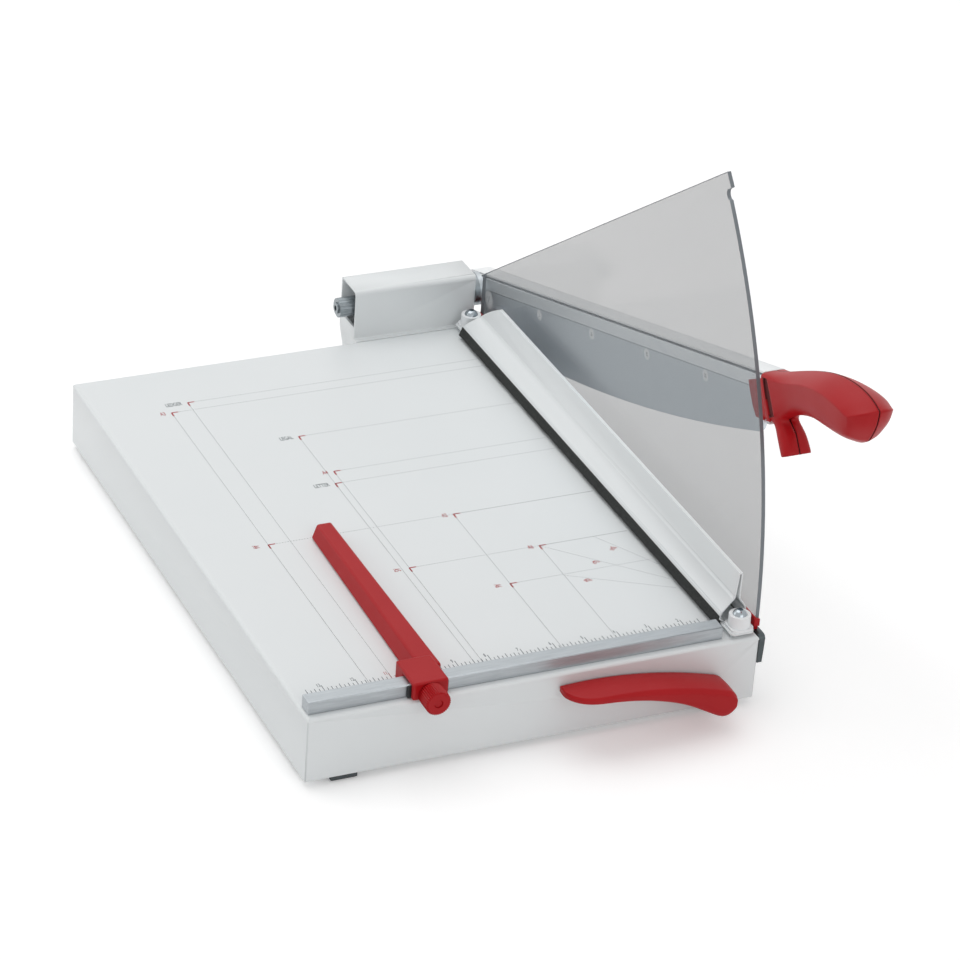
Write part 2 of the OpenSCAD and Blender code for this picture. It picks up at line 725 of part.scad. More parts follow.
// Places on the half section: share of the half width and share of the way from top to bottom
grip_shape = [[0, 0], [0.5, 0.05], [0.85, 0.14], [1, 0.24], [0.9, 0.52], [0.86, 0.74], [0.55, 0.88], [0, 1]];
function grip_point(r, q) = [
    grip_seam / 2 + q[0] * (r[4] - grip_seam / 2),
    -arm_l - (r[0] + (r[2] - r[0]) * q[1]),
    r[1] + (r[3] - r[1]) * q[1]];
module grip_loft() {
    n = len(grip_shape);
    points = [for (k = [0:grip_steps], q = grip_shape) grip_point(curve(grip_rows, k / grip_steps), q)];
    last = grip_steps * n;
    sides = [for (k = [0:grip_steps - 1], i = [0:n - 1])
        let (a = k * n + i, b = k * n + (i + 1) % n)
        each [[a, b, a + n], [b, b + n, a + n]]];
    caps = [for (i = [1:n - 2]) each [[0, i + 1, i], [last, last + i, last + i + 1]]];
    polyhedron(points, concat(sides, caps));
}
// Hand stop below the grip and the curve between them, as distances beyond the arm's end and heights
spur_line = [[7, -9], [7.5, -20.5], [18.4, -39.7], [21.2, -42.7], [24.5, -43.3], [27, -42.3],
    [30.1, -37.2], [11.4, -9]];
spur_mid = 20;
spur_crook = [[25, -29.5], [16.5, -16.8], [31, -13.6]];
spur_crook_r = 8;
spur_root = [[31, -8], [12, -8]];
spur_fillet = concat(bent(spur_crook, [spur_crook_r]), spur_root);
spur_w = grip_w * 0.26;
spur_draft = 2;
// Share of the hand stop's outline that its drafted side face keeps
spur_keep = [0.85, 0.95];
function arm_side(line) = [for (p = line) [-arm_l - p[0], p[1]]];
module spur() {
    hull() {
        along_x(grip_seam / 2, spur_w - spur_draft) polygon(arm_side(spur_line));
        along_x(grip_seam / 2, spur_w)
            polygon(arm_side([for (p = spur_line)
                [spur_mid + (p[0] - spur_mid) * spur_keep[0], p[1] * spur_keep[1]]]));
    }
    along_x(grip_seam / 2, spur_w - spur_draft) polygon(arm_side(spur_fillet));
}
// Neck behind the grip, which closes the cover's front end
neck_rear = gap * 3;
neck_line = [[neck_rear, cover_top], [11, cover_top], [20, -18], [9, -22], [neck_rear, -22]];
module handle_half() {
    grip_loft();
    spur();
}
module handle_holes() {
    block([tang_x0 - gap, -arm_l - tang_l - gap, -tang_h / 2 - gap],
        [bar_x1 + gap, -arm_l + eps, tang_h / 2 + gap]);
    at_handle_screws() {
        rod_x(handle_screw_x0, handle_screw_x1, screw_d + 2 * fit);
        rod_x(handle_screw_x1, grip_mid + grip_w, screw_head_d + 2 * gap);
    }
}
handle_screw_x0 = 3;
handle_screw_x1 = 19;
// Flange of the left half, which laps over the front end of the blade, and the slot beside it
lap_t = 1.5;
lap_line = [[-20, 4.5], [-2.4, 8.2], [10, 10.6], [10, -21], [-10.7, -21], [-15.2, -14], [-18, -4.5]];
slot_line = [[3.4, 9.2], [8.3, 10], [17.6, -16.4], [11.2, -18]];
slot_x1 = 3;
module handle_left() {
    color(red) arm_frame() difference() {
        union() {
            translate([grip_mid, 0, 0]) mirror([1, 0, 0]) handle_half();
            along_x(-lap_t, 0) polygon(arm_side(lap_line));
            along_x(-lap_t, grip_mid - grip_seam / 2) polygon(arm_side(neck_line));
        }
        along_x(-lap_t - eps, slot_x1) polygon(arm_side(slot_line));
        handle_holes();
    }
}
module handle_right() {
    color(red) arm_frame() difference() {
        union() {
            translate([grip_mid, 0, 0]) handle_half();
            along_x(grip_mid + grip_seam / 2, arm_w) polygon(arm_side(neck_line));
        }
        handle_holes();
    }
}
module handle_screws() {
    color(steel) arm_frame() at_handle_screws() {
        rod_x(handle_screw_x0 + gap, handle_screw_x1, screw_d);
        rod_x(handle_screw_x1, handle_screw_x1 + screw_head_h, screw_head_d);
    }
}

// Guard: a flat sheet with an arc for its front edge, a straight sloping top and a finger notch
notch_d = 8.4;
notch_turn = 38.8;
notch_out = 1.8;
hook_turn = 39.3;
hook_span = 5;
guard_over = 7.4;
guard_top_z = pivot_z + guard_over / cos(guard_slope);
hook_root = 0.9;
guard_pin_n = 4;
guard_pin_d = 3;
guard_pin_end = 40;
guard_pin_z = guard_z0 + 2.2;
guard_y1 = tray_y1 - 1;
module at_guard_pins() {
    step = (guard_y1 - rail_y0 - 2 * guard_pin_end) / (guard_pin_n - 1);
    for (k = [0:guard_pin_n - 1]) translate([0, rail_y0 + guard_pin_end + k * step, guard_pin_z]) children();
}
// A point at the given turn and distance round the middle of the guard's arc
function guard_at(turn, r) = [guard_cy - r * cos(turn), guard_cz + r * sin(turn)];
module guard() {
    rear_z = guard_top_z + (pivot_y - guard_y1) * tan(guard_slope);
    front_y = guard_cy - guard_r - eps;
    front_z = guard_top_z + (pivot_y - front_y) * tan(guard_slope);
    notch_spot = guard_at(notch_turn, guard_r + notch_out);
    color("#8C8E90", 0.5) placed() difference() {
        intersection() {
            along_x(guard_x0, guard_x1) polygon([
                [front_y, guard_z0], [guard_y1, guard_z0], [guard_y1, rear_z], [front_y, front_z]]);
            union() {
                translate([0, guard_cy, guard_cz])
                    rod_x(guard_x0 - eps, guard_x1 + eps, 2 * guard_r, $fn = 720);
                along_x(guard_x0, guard_x1) polygon([guard_at(hook_turn, guard_r * hook_root),
                    guard_at(hook_turn, guard_r + hook_out),
                    guard_at(hook_turn + hook_span, guard_r + hook_out),
                    guard_at(hook_turn + hook_span, guard_r * hook_root)]);
            }
        }
        translate([0, notch_spot[0], notch_spot[1]])
            rod_x(guard_x0 - eps, guard_x1 + eps, notch_d);
        at_guard_pins() rod_x(guard_x0 - eps, guard_x1 + eps, guard_pin_d + 2 * fit);
    }
}
module guard_rail() {
    color(red) placed() difference() {
        union() {
            block([rail_x0, rail_front, paper_gap], [guard_x1, rail_y1, paper_gap + rail_floor]);
            block([rail_x0, rail_front, paper_gap], [rail_x0 + rail_wall, rail_y1, paper_gap + rail_h]);
            block([rail_x0, rail_front, paper_gap], [guard_x1, rail_y0 - rail_clear, paper_gap + rail_end_h]);
            for (y = [rail_y0, rail_y1 - rail_foot_l])
                block([guard_x0, y, 0], [guard_x1, y + rail_foot_l, paper_gap + rail_floor / 2]);
            at_pegs() rod_z(-peg_l, eps, peg_d);
        }
        at_guard_pins() rod_x(rail_x0 - eps, guard_x0, guard_pin_d + 2 * fit);
    }
}
module guard_pins() {
    color(red) placed() at_guard_pins() rod_x(rail_x0, guard_x1, guard_pin_d);
}

// Clamp: one folded sheet, from the right wing over the ridge and the left wing to the base strip
clamp_z0 = clamp_gap + 0.4;
clamp_right = rail_x0 - 1.1;
clamp_ridge = post_x + 1;
clamp_left = post_x - 11;
clamp_end_in = 9;
clamp_y0 = post_ys[0] + clamp_end_in;
clamp_y1 = post_ys[1] - clamp_end_in;
// The section: lip heights over the base strip, shoulders under the ridge and the left lip's three corners
right_lip = [1.8, 11];
shoulder = [[3, 19.5], [-2, 20.3]];
ridge_fold = [3.2, -0.6];
lip_top = [clamp_left, clamp_z0 + 8.8];
lip_low = [clamp_left - 0.8, clamp_z0 + 4];
lip_in = [clamp_left + 4.5, clamp_z0];
base_in = 2;
clamp_line = [[clamp_right, clamp_z0 + right_lip[0]], [clamp_right, clamp_z0 + right_lip[1]],
    [clamp_ridge + shoulder[0][0], clamp_z0 + shoulder[0][1]],
    [clamp_ridge + ridge_fold[0], clamp_up + ridge_fold[1]],
    [clamp_ridge, clamp_up], [clamp_ridge + shoulder[1][0], clamp_z0 + shoulder[1][1]],
    lip_top, lip_low, lip_in, [clamp_right - base_in, clamp_z0]];
clamp_bends = [2, 2, 0, 0, 2, 1.5, 0, 1.6];
foot_plate_x = [post_x - 10.2, clamp_right - 1];
foot_plate_in = 0.6;
foot_plate_r = 4;
foot_plate_lap = 8;
// Side view of the ridge's rear end, cut back on a curve
cut_z0 = clamp_z0 + clamp_t + 0.6;
cut_z1 = clamp_up + eps;
cut_power = 1.7;
cut_steps = 10;
cut_out = 30;
cut_line = [for (k = [0:cut_steps])
    [clamp_y1 - clamp_cut * pow(k / cut_steps, cut_power), cut_z0 + (cut_z1 - cut_z0) * k / cut_steps]];
module clamp_bar() {
    z1 = clamp_z0 + clamp_t;
    color(paint) placed() difference() {
        union() {
            along_y(clamp_y0, clamp_y1) polygon(folded(bent(clamp_line, clamp_bends), clamp_t));
            plate(foot_plate_x[0], tray_y0 + foot_plate_in, foot_plate_x[1], clamp_y0 + foot_plate_lap,
                clamp_z0, z1, foot_plate_r);
            plate(foot_plate_x[0], clamp_y1 - foot_plate_lap, foot_plate_x[1], tray_y1 - foot_plate_in,
                clamp_z0, z1, foot_plate_r);
        }
        along_x(clamp_left - cut_out, clamp_right + eps)
            polygon(concat(cut_line, [[clamp_y1 + cut_out, cut_z1], [clamp_y1 + cut_out, cut_z0]]));
        at_posts() rod_z(clamp_z0 - eps, z1 + eps, post_d + 2 * fit);
    }
}
// Foam: it is glued to the outside of the left lip
foam_out = 3.3;
foam_top = 0.42;
foam_end = 0.28;
module clamp_foam() {
    foam_in = lip_low + (lip_in - lip_low) * foam_end;
    color(black) placed() along_y(clamp_y0, clamp_y1) polygon([lip_top + (lip_low - lip_top) * foam_top,
        [clamp_left - foam_out, clamp_gap], [foam_in[0], clamp_gap], foam_in, lip_low]);
}
sleeve_z0 = clamp_z0 + clamp_t;
sleeve_z1 = sleeve_z0 + sleeve_h;
sleeve_d = 17;
sleeve_flange = 17.6;
sleeve_flange_t = 2;
sleeve_draft = 1;
module post_sleeves() {
    w = sleeve_flange / 2;
    color(white) placed() at_posts() difference() {
        union() {
            plate(-w, -w, w, w, sleeve_z0, sleeve_z0 + sleeve_flange_t, foot_plate_r);
            translate([0, 0, sleeve_z0]) cylinder(h = sleeve_h, d1 = sleeve_d, d2 = sleeve_d - sleeve_draft);
        }
        rod_z(sleeve_z0 - eps, sleeve_z1 + eps, post_d + 2 * fit);
    }
}

// Clamp posts: pull rods with domed heads, which the yokes draw down
yoke_z0 = -42;
yoke_z1 = -20;
yoke_t = 4;
post_tail = 5.5;
post_head_d = 11;
post_head_h = 4;
post_socket = 4.5;
dome_r = (post_head_d * post_head_d / 4 + post_head_h * post_head_h) / (2 * post_head_h);
module clamp_posts() {
    color(steel) placed() at_posts() difference() {
        union() {
            rod_z(yoke_z0 - post_tail + 1, sleeve_z1, post_d);
            intersection() {
                rod_z(sleeve_z1, sleeve_z1 + post_head_h, post_head_d);
                translate([0, 0, sleeve_z1 + post_head_h - dome_r]) sphere(dome_r);
            }
        }
        translate([0, 0, sleeve_z1 + post_head_h / 2]) cylinder(h = post_head_h, d = post_socket, $fn = 6);
    }
}
guide_flange_d = guide_d + 3;
guide_flange_t = 2;
guide_l = 10;
module post_guides() {
    color(white) placed() at_posts() difference() {
        union() {
            rod_z(-guide_l, 0, guide_d - 2 * fit);
            rod_z(-sheet_t - guide_flange_t, -sheet_t, guide_flange_d);
        }
        rod_z(-guide_l - eps, eps, post_d + 2 * fit);
    }
}
yoke_boss_d = 11;
yoke_boss_z0 = yoke_z0 + 1;
pin_d = 5;
pin_play = 0.6;
pin_clear = 0.1;
crank_x = lever_x - crank_r;
yoke_x0 = crank_x - 7;
module pull_yokes() {
    color(zinc) placed() for (y = post_ys) difference() {
        union() {
            block([yoke_x0, y - yoke_t / 2, yoke_z0], [post_x, y + yoke_t / 2, yoke_z1]);
            translate([post_x, y, 0]) rod_z(yoke_boss_z0, yoke_z1, yoke_boss_d);
        }
        translate([post_x, y, 0]) rod_z(yoke_z0 - eps, yoke_z1 + eps, post_d + 2 * fit);
        translate([0, y, 0]) {
            for (z = [lever_z, lever_z + clamp_travel]) translate([lever_x, 0, z])
                rod_y(-yoke_t, yoke_t, lever_shaft_d + 1);
            block([lever_x - lever_shaft_d / 2 - 0.5, -yoke_t, lever_z],
                [lever_x + lever_shaft_d / 2 + 0.5, yoke_t, lever_z + clamp_travel]);
            for (x = [crank_x - pin_play, crank_x + pin_play]) translate([x, 0, lever_z])
                rod_y(-yoke_t, yoke_t, pin_d + 2 * pin_clear);
            block([crank_x - pin_play, -yoke_t, lever_z - pin_d / 2 - pin_clear],
                [crank_x + pin_play, yoke_t, lever_z + pin_d / 2 + pin_clear]);
        }
    }
}

// Return springs: one unbroken tube each, wound round the tail of a post
spring_r = post_d / 2 + spring_wire / 2 + 0.9;
spring_clear = 0.15;
spring_z0 = flange_z + spring_wire / 2 + spring_clear;
spring_z1 = yoke_boss_z0 - spring_wire / 2 - spring_clear;
spring_rings = 8;
spring_sides = 6;
function coil(t) = [spring_r * cos(360 * t), spring_r * sin(360 * t),
    spring_z0 + (spring_z1 - spring_z0) * t / spring_turns];
coil_points = [for (k = [0:spring_turns * spring_rings]) coil(k / spring_rings)];
function coil_dir(k) = unit(coil((k + 0.5) / spring_rings) - coil((k - 0.5) / spring_rings));
function coil_ring(k) =
    let (t = coil_dir(k), c = coil_points[k], a = unit([c[0], c[1], 0]), b = cross(t, a))
    [for (i = [0:spring_sides - 1]) c + spring_wire / 2 * (a * cos(60 * i) + b * sin(60 * i))];
coil_gap = min([for (i = [0:len(coil_points) - 1], j = [0:len(coil_points) - 1])
    if (j - i > spring_rings / 2) norm(coil_points[j] - coil_points[i])]) - spring_wire;
echo(return_spring_least_gap_mm = coil_gap);
module return_spring(y) {
    n = spring_sides;
    m = len(coil_points) - 1;
    points = [for (k = [0:m]) each coil_ring(k)];
    sides = [for (k = [0:m - 1], i = [0:n - 1])
        let (a = k * n + i, b = k * n + (i + 1) % n)
        each [[a, a + n, b], [b, a + n, b + n]]];
    caps = [for (i = [1:n - 2]) each [[0, i, i + 1], [m * n, m * n + i + 1, m * n + i]]];
    translate([post_x, y, 0]) polyhedron(points, concat(sides, caps));
}
module return_spring_front() { color(steel) placed() return_spring(post_ys[0]); }
module return_spring_rear() { color(steel) placed() return_spring(post_ys[1]); }

// Clamp lever: its side outline is a curved taper, and its tip is rounded in plan
lever_y1 = tray_y0 - 1.5;
lever_y0 = lever_y1 - lever_d;
lever_steps = 16;
lever_crest = lever_l * 0.84;
function lever_mid(s) = lever_rise * (1 - pow((s - lever_crest) / lever_crest, 2));
function lever_thick(s) = lever_tip + (lever_hub - lever_tip) * pow(1 - s / lever_l, 2.2);
lever_ss = [for (k = [0:lever_steps]) k * lever_l / lever_steps];
lever_side = concat([for (s = lever_ss) [-s, lever_mid(s) + lever_thick(s) / 2]],
    [for (k = [lever_steps:-1:0]) [-lever_ss[k], lever_mid(lever_ss[k]) - lever_thick(lever_ss[k]) / 2]]);
lever_root = [3, 4];
lever_tip_r = lever_d * 0.8;
lever_bore_end = 6;
module clamp_lever() {
    color(red) placed() at_lever() difference() {
        intersection() {
            union() {
                along_y(lever_y0, lever_y1) polygon(lever_side);
                hull() {
                    rod_y(lever_y0, lever_y1, lever_hub);
                    along_y(lever_y0, lever_y1) polygon([for (k = lever_root, u = [0.5, -0.5])
                        [-lever_ss[k], lever_mid(lever_ss[k]) + u * lever_thick(lever_ss[k])]]);
                }
            }
            union() {
                block([lever_tip_r - lever_l, lever_y0, -table_h], [lever_hub, lever_y1, table_h]);
                translate([lever_tip_r - lever_l, lever_y0 + lever_tip_r, 0])
                    rod_z(-table_h, table_h, 2 * lever_tip_r);
                block([-lever_l, lever_y0 + lever_tip_r, -table_h], [0, lever_y1, table_h]);
            }
        }
        rod_y(lever_y0 + lever_bore_end, lever_y1 + eps, lever_shaft_d + 2 * fit);
        translate([0, lever_pin_y, 0]) rod_z(-lever_hub, lever_pin_top + gap, lever_pin_d + 2 * fit);
    }
}
lever_shaft_y1 = tray_y1 - 0.5;
lever_pin_y = lever_y1 - lever_d * 0.4;
lever_pin_d = 3;
lever_pin_top = lever_hub / 2 - 3;
module lever_shaft() {
    color(steel) placed() at_lever() difference() {
        rod_y(lever_y0 + lever_bore_end + gap, lever_shaft_y1, lever_shaft_d);
        translate([0, lever_pin_y, 0]) rod_z(-lever_shaft_d, lever_shaft_d, lever_pin_d + 2 * fit);
    }
}
module lever_pin() {
    color(steel) placed() at_lever() translate([0, lever_pin_y, 0])
        rod_z(-lever_hub / 2 + 1, lever_pin_top, lever_pin_d);
}
lever_bush_flange_d = lever_bush_d + 4;
lever_bush_flange_t = 1.5;
lever_bush_out = 0.8;
module lever_bushes() {
    color(bronze) placed() at_lever() difference() {
        union() {
            rod_y(tray_y0 - lever_bush_out, tray_y0 + sheet_t, lever_bush_d - 2 * fit);
            rod_y(tray_y0 + sheet_t, tray_y0 + sheet_t + lever_bush_flange_t, lever_bush_flange_d);
            rod_y(tray_y1 - sheet_t, tray_y1, lever_bush_d - 2 * fit);
            rod_y(tray_y1 - sheet_t - lever_bush_flange_t, tray_y1 - sheet_t, lever_bush_flange_d);
        }
        rod_y(tray_y0 - eps - lever_bush_out, tray_y1 + eps, lever_shaft_d + 2 * fit);
    }
}
crank_t = 6;
crank_hub_d = 18;
crank_end_d = 10;
crank_side = 0.4;
module crank() {
    difference() {
        union() {
            rod_y(0, crank_t, crank_hub_d);
            translate([-crank_r, 0, 0]) rod_y(0, crank_t, crank_end_d);
            block([-crank_r, 0, -crank_end_d / 2], [0, crank_t, crank_end_d / 2]);
            translate([-crank_r, 0, 0]) rod_y(-crank_side - yoke_t - 1, eps, pin_d);
        }
        rod_y(-eps, crank_t + eps, lever_shaft_d + 2 * fit);
    }
}
module cranks() {
    color(zinc) placed() {
        translate([lever_x, post_ys[0] + yoke_t / 2 + crank_side, lever_z]) crank();
        translate([lever_x, post_ys[1] - yoke_t / 2 - crank_side, lever_z]) mirror([0, 1, 0]) crank();
    }
}
clip_t = 1.2;
clip_d = 15;
module shaft_clips() {
    inner = sheet_t + lever_bush_flange_t + gap;
    color(steel) placed() at_lever() difference() {
        union() {
            rod_y(tray_y0 + inner, tray_y0 + inner + clip_t, clip_d);
            rod_y(tray_y1 - inner - clip_t, tray_y1 - inner, clip_d);
        }
        rod_y(tray_y0, tray_y1, lever_shaft_d + 2 * fit);
    }
}

// Backstop: a tapering bar behind the ruler and a block that hooks over it
stop_x = -stop_at;
stop_block_in = 2.7;
stop_z0 = 0.5;
stop_up = 14.5;
stop_end_up = 12;
stop_step = 0.5;
stop_bar_y = 1;
// Widths of the bar at its top and its foot, in front and at the rear end
stop_front_w = [15.5, 20];
stop_rear_w = [11.6, 15.6];
stop_slice = 0.1;
stop_block_y = 14;
stop_front_t = 4.6;
shoe_t = 2.1;
stop_block_x1 = stop_x - stop_block_in;
stop_block_x0 = stop_block_x1 - block_w;
shoe_y0 = -ruler_d - gap - shoe_t;
stop_front_y = shoe_y0 - gap - stop_front_t;
knob_z = ruler_h * 0.45;
knob_screw_d = 5;
knob_gap = 0.5;
knob_y1 = stop_front_y - knob_gap;
knob_y0 = knob_y1 - knob_l;
knob_screw_head = 3;
module stop_section(y, up, w) {
    along_y(y - stop_slice, y)
        polygon([[stop_x, stop_z0], [stop_x, up], [stop_x - w[0], up], [stop_x - w[1], stop_z0]]);
}
module backstop() {
    color(red) placed() difference() {
        union() {
            hull() {
                stop_section(stop_bar_y, stop_up - stop_step, stop_front_w);
                stop_section(stop_l, stop_end_up, stop_rear_w);
            }
            block([stop_block_x0, stop_front_y, stop_z0], [stop_block_x1, stop_block_y, stop_up]);
        }
        block([stop_block_x0 - eps, shoe_y0 - gap, -eps],
            [stop_x + eps, gap + rail_clear, ruler_h + gap + rail_clear]);
        at_knob() rod_y(stop_front_y - eps, shoe_y0, knob_screw_d + 2 * fit);
    }
}
shoe_over = 2;
module backstop_shoe() {
    color(black) placed() block([stop_block_x0 - shoe_over, shoe_y0, stop_z0],
        [stop_block_x1 + shoe_over, shoe_y0 + shoe_t, ruler_h - gap]);
}
module at_knob() translate([(stop_block_x0 + stop_block_x1) / 2, 0, knob_z]) children();
knob_dish_d = 9;
knob_dish = 1.2;
knob_bevel = 0.8;
module thumb_knob() {
    color(red) placed() at_knob() difference() {
        union() {
            rod_y(knob_y0 + knob_bevel, knob_y1, knob_d);
            translate([0, knob_y0, 0]) rotate([-90, 0, 0])
                cylinder(h = knob_bevel, d1 = knob_d - 2 * knob_bevel, d2 = knob_d);
        }
        rod_y(knob_y0 - eps, knob_y0 + knob_dish, knob_dish_d);
        rod_y(knob_y0 + knob_screw_head, knob_y1 + eps, knob_screw_d + 2 * fit);
    }
}
module knob_screw() {
    color(steel) placed() at_knob() rod_y(knob_y0 + knob_screw_head + gap, shoe_y0 - fit, knob_screw_d);
}

base_tray();
rubber_feet();
foot_screws();
side_ruler();
ruler_screws();
bed_knife();
knife_screws();
pivot_housing();
housing_screws();
housing_nuts();
pivot_block();
block_screws();
pivot_bushes();
thrust_washer();
guard();
guard_rail();
guard_pins();
post_guides();
lever_bushes();
return_spring_front();
return_spring_rear();
arm_bar();
arm_cover();
blade();
blade_screws();
handle_left();
handle_right();
handle_screws();
pivot_shaft();
hub_washer();
spring_washers();
shaft_nut();
nut_screw();
clamp_bar();
clamp_foam();
post_sleeves();
clamp_posts();
pull_yokes();
clamp_lever();
lever_shaft();
lever_pin();
cranks();
shaft_clips();
backstop();
backstop_shoe();
thumb_knob();
knob_screw();
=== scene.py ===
# %% [markdown]
# # A lever-arm paper trimmer, dressed for a studio picture
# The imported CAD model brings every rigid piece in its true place. This lesson gives the pieces their
# finishes, softens their edges, remakes the moulded and soft ones with finer surfaces, and prints the table.

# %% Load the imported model
import math

import bmesh
import bpy
from mathutils import Matrix, Vector


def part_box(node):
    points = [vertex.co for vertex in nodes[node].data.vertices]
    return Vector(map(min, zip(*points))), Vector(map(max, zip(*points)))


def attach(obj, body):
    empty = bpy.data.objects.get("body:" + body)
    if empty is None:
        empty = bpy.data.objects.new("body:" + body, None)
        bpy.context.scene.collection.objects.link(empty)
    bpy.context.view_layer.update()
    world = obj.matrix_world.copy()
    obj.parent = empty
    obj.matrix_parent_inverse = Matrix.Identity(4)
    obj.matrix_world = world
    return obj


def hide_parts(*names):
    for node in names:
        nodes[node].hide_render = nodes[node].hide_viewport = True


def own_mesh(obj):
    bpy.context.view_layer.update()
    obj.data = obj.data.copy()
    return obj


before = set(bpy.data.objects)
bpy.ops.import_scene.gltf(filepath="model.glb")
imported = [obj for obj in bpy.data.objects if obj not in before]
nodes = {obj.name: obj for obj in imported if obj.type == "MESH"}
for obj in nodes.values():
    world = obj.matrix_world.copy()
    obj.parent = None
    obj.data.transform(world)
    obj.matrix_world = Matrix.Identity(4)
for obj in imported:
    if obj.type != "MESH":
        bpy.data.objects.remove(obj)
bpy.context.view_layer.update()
print("CAD nodes:", len(nodes))

# %% [markdown]
# ## The drawing frame
# The table print, the lever and the handle are easiest to think of in the trimmer's own measures: x from
# the cutting edge, y from the rear face of the ruler and z from the table top. The CAD boxes tell where
# those three planes lie, so one function turns a measure in millimetres into a place in the scene.

# %% The trimmer's own measures
MM = 0.001
cut_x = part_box("bed_knife")[1].x
ruler_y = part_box("side_ruler")[1].y
table_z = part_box("base_tray")[1].z


def place(x, y, z):
    return Vector((cut_x + x * MM, ruler_y + y * MM, table_z + z * MM))


print("table top at", [round(c, 4) for c in place(0, 0, 0)])

# %% [markdown]
# ## Colours and shader nodes
# Colours are written as the hex values one would pick from a photo. Cycles works in linear light, so one
# function turns them. Patterns are written by the size of one grain in millimetres, because a texture's
# scale counts how many of them fit in a metre. One more function adds any node with its settings and links.

# %% Colour, pattern size and node helpers


def linear(hex_code):
    def channel(c):
        return c / 12.92 if c <= 0.04045 else ((c + 0.055) / 1.055) ** 2.4
    values = [int(hex_code[i:i + 2], 16) / 255 for i in (1, 3, 5)]
    return (*[channel(v) for v in values], 1.0)


def grains(size_mm):
    return 1 / (size_mm * MM)


def add(tree, kind, settings=None, feeds=None, **sockets):
    """Adds a node. Sockets go by name, or by number in feeds, and take a value or an output to link."""
    node = tree.nodes.new(kind)
    for key, value in (settings or {}).items():
        setattr(node, key, value)
    named = {key.replace("_", " "): value for key, value in sockets.items()}
    for key, value in {**named, **(feeds or {})}.items():
        if isinstance(value, bpy.types.NodeSocket):
            tree.links.new(value, node.inputs[key])
        else:
            node.inputs[key].default_value = value
    return node


def new_material(name):
    material = bpy.data.materials.new(name)
    material.use_nodes = True
    material.node_tree.nodes.clear()
    return material, material.node_tree


# %% [markdown]
# ## Painted sheet steel
# The table, the housing, the clamp and the arm's cover are folded steel with a light grey powder coat, nearly
# white on the cover. Powder flows out in the oven with a faint orange peel, a few millimetres across, so a
# low noise bends the highlights a little. A second, broad noise keeps large panels from looking dead flat.

# %% Powder coat
BROAD_MM = 110.0
PEEL_MM = 2.4
# a Mix node has sockets for every kind of data: these are its two colours and the mixed one
COLOURS = {"data_type": "RGBA"}
FIRST, SECOND, MIXED = 6, 7, 2


def powder_coat(name, colour, dusk):
    material, tree = new_material(name)
    spot = add(tree, "ShaderNodeTexCoord").outputs["Object"]
    broad = add(tree, "ShaderNodeTexNoise", Vector=spot, Scale=grains(BROAD_MM), Detail=2.0).outputs["Fac"]
    tint = add(tree, "ShaderNodeMix", COLOURS, {FIRST: linear(colour), SECOND: linear(dusk)}, Factor=broad)
    peel = add(tree, "ShaderNodeTexNoise", Vector=spot, Scale=grains(PEEL_MM), Detail=1.0).outputs["Fac"]
    bump = add(tree, "ShaderNodeBump", Strength=0.05, Distance=0.0004, Height=peel)
    gloss = add(tree, "ShaderNodeMapRange", Value=broad, To_Min=0.32, To_Max=0.42)
    paint = add(tree, "ShaderNodeBsdfPrincipled", IOR=1.5, Normal=bump.outputs["Normal"],
                Roughness=gloss.outputs["Result"], Base_Color=tint.outputs[MIXED])
    add(tree, "ShaderNodeOutputMaterial", Surface=paint.outputs["BSDF"])
    return material


grey_coat = powder_coat("powder_coat_light_grey", "#E4E7E8", "#DFE3E4")
white_coat = powder_coat("powder_coat_white", "#F4F6F7", "#EFF2F3")
print("paints:", grey_coat.name, white_coat.name)

# %% [markdown]
# ## Moulded plastics
# The handle, lever, backstop, knob and guard rail are moulded ABS. The mould is spark-eroded, which leaves
# a fine leathery grain of a few tenths of a millimetre; it is drawn a little coarser here so that it shows.
# A moulded skin reflects less than a polished one, so its specular level is below the usual half. Pressed
# rubber, cellular foam and the dull lacquer on the blade's screws have the same kind of skin, with other
# values.

# %% Moulded plastics
SHADE_MM = 33.0


def moulded(name, colour, shade, roughness, grain_mm=0.7, depth=0.12, shine=0.3, shade_mm=SHADE_MM):
    material, tree = new_material(name)
    spot = add(tree, "ShaderNodeTexCoord").outputs["Object"]
    cells = add(tree, "ShaderNodeTexVoronoi", Vector=spot, Scale=grains(grain_mm)).outputs["Distance"]
    cloud = add(tree, "ShaderNodeTexNoise", Vector=spot, Scale=grains(shade_mm), Detail=3.0).outputs["Fac"]
    tint = add(tree, "ShaderNodeMix", COLOURS, {FIRST: linear(colour), SECOND: linear(shade)}, Factor=cloud)
    bump = add(tree, "ShaderNodeBump", Strength=depth, Distance=0.0002, Height=cells)
    gloss = add(tree, "ShaderNodeMapRange", Value=cloud, To_Min=roughness - 0.04, To_Max=roughness + 0.06)
    plastic = add(tree, "ShaderNodeBsdfPrincipled", IOR=1.52, Normal=bump.outputs["Normal"],
                  Roughness=gloss.outputs["Result"], Base_Color=tint.outputs[MIXED],
                  Specular_IOR_Level=shine)
    add(tree, "ShaderNodeOutputMaterial", Surface=plastic.outputs["BSDF"])
    return material


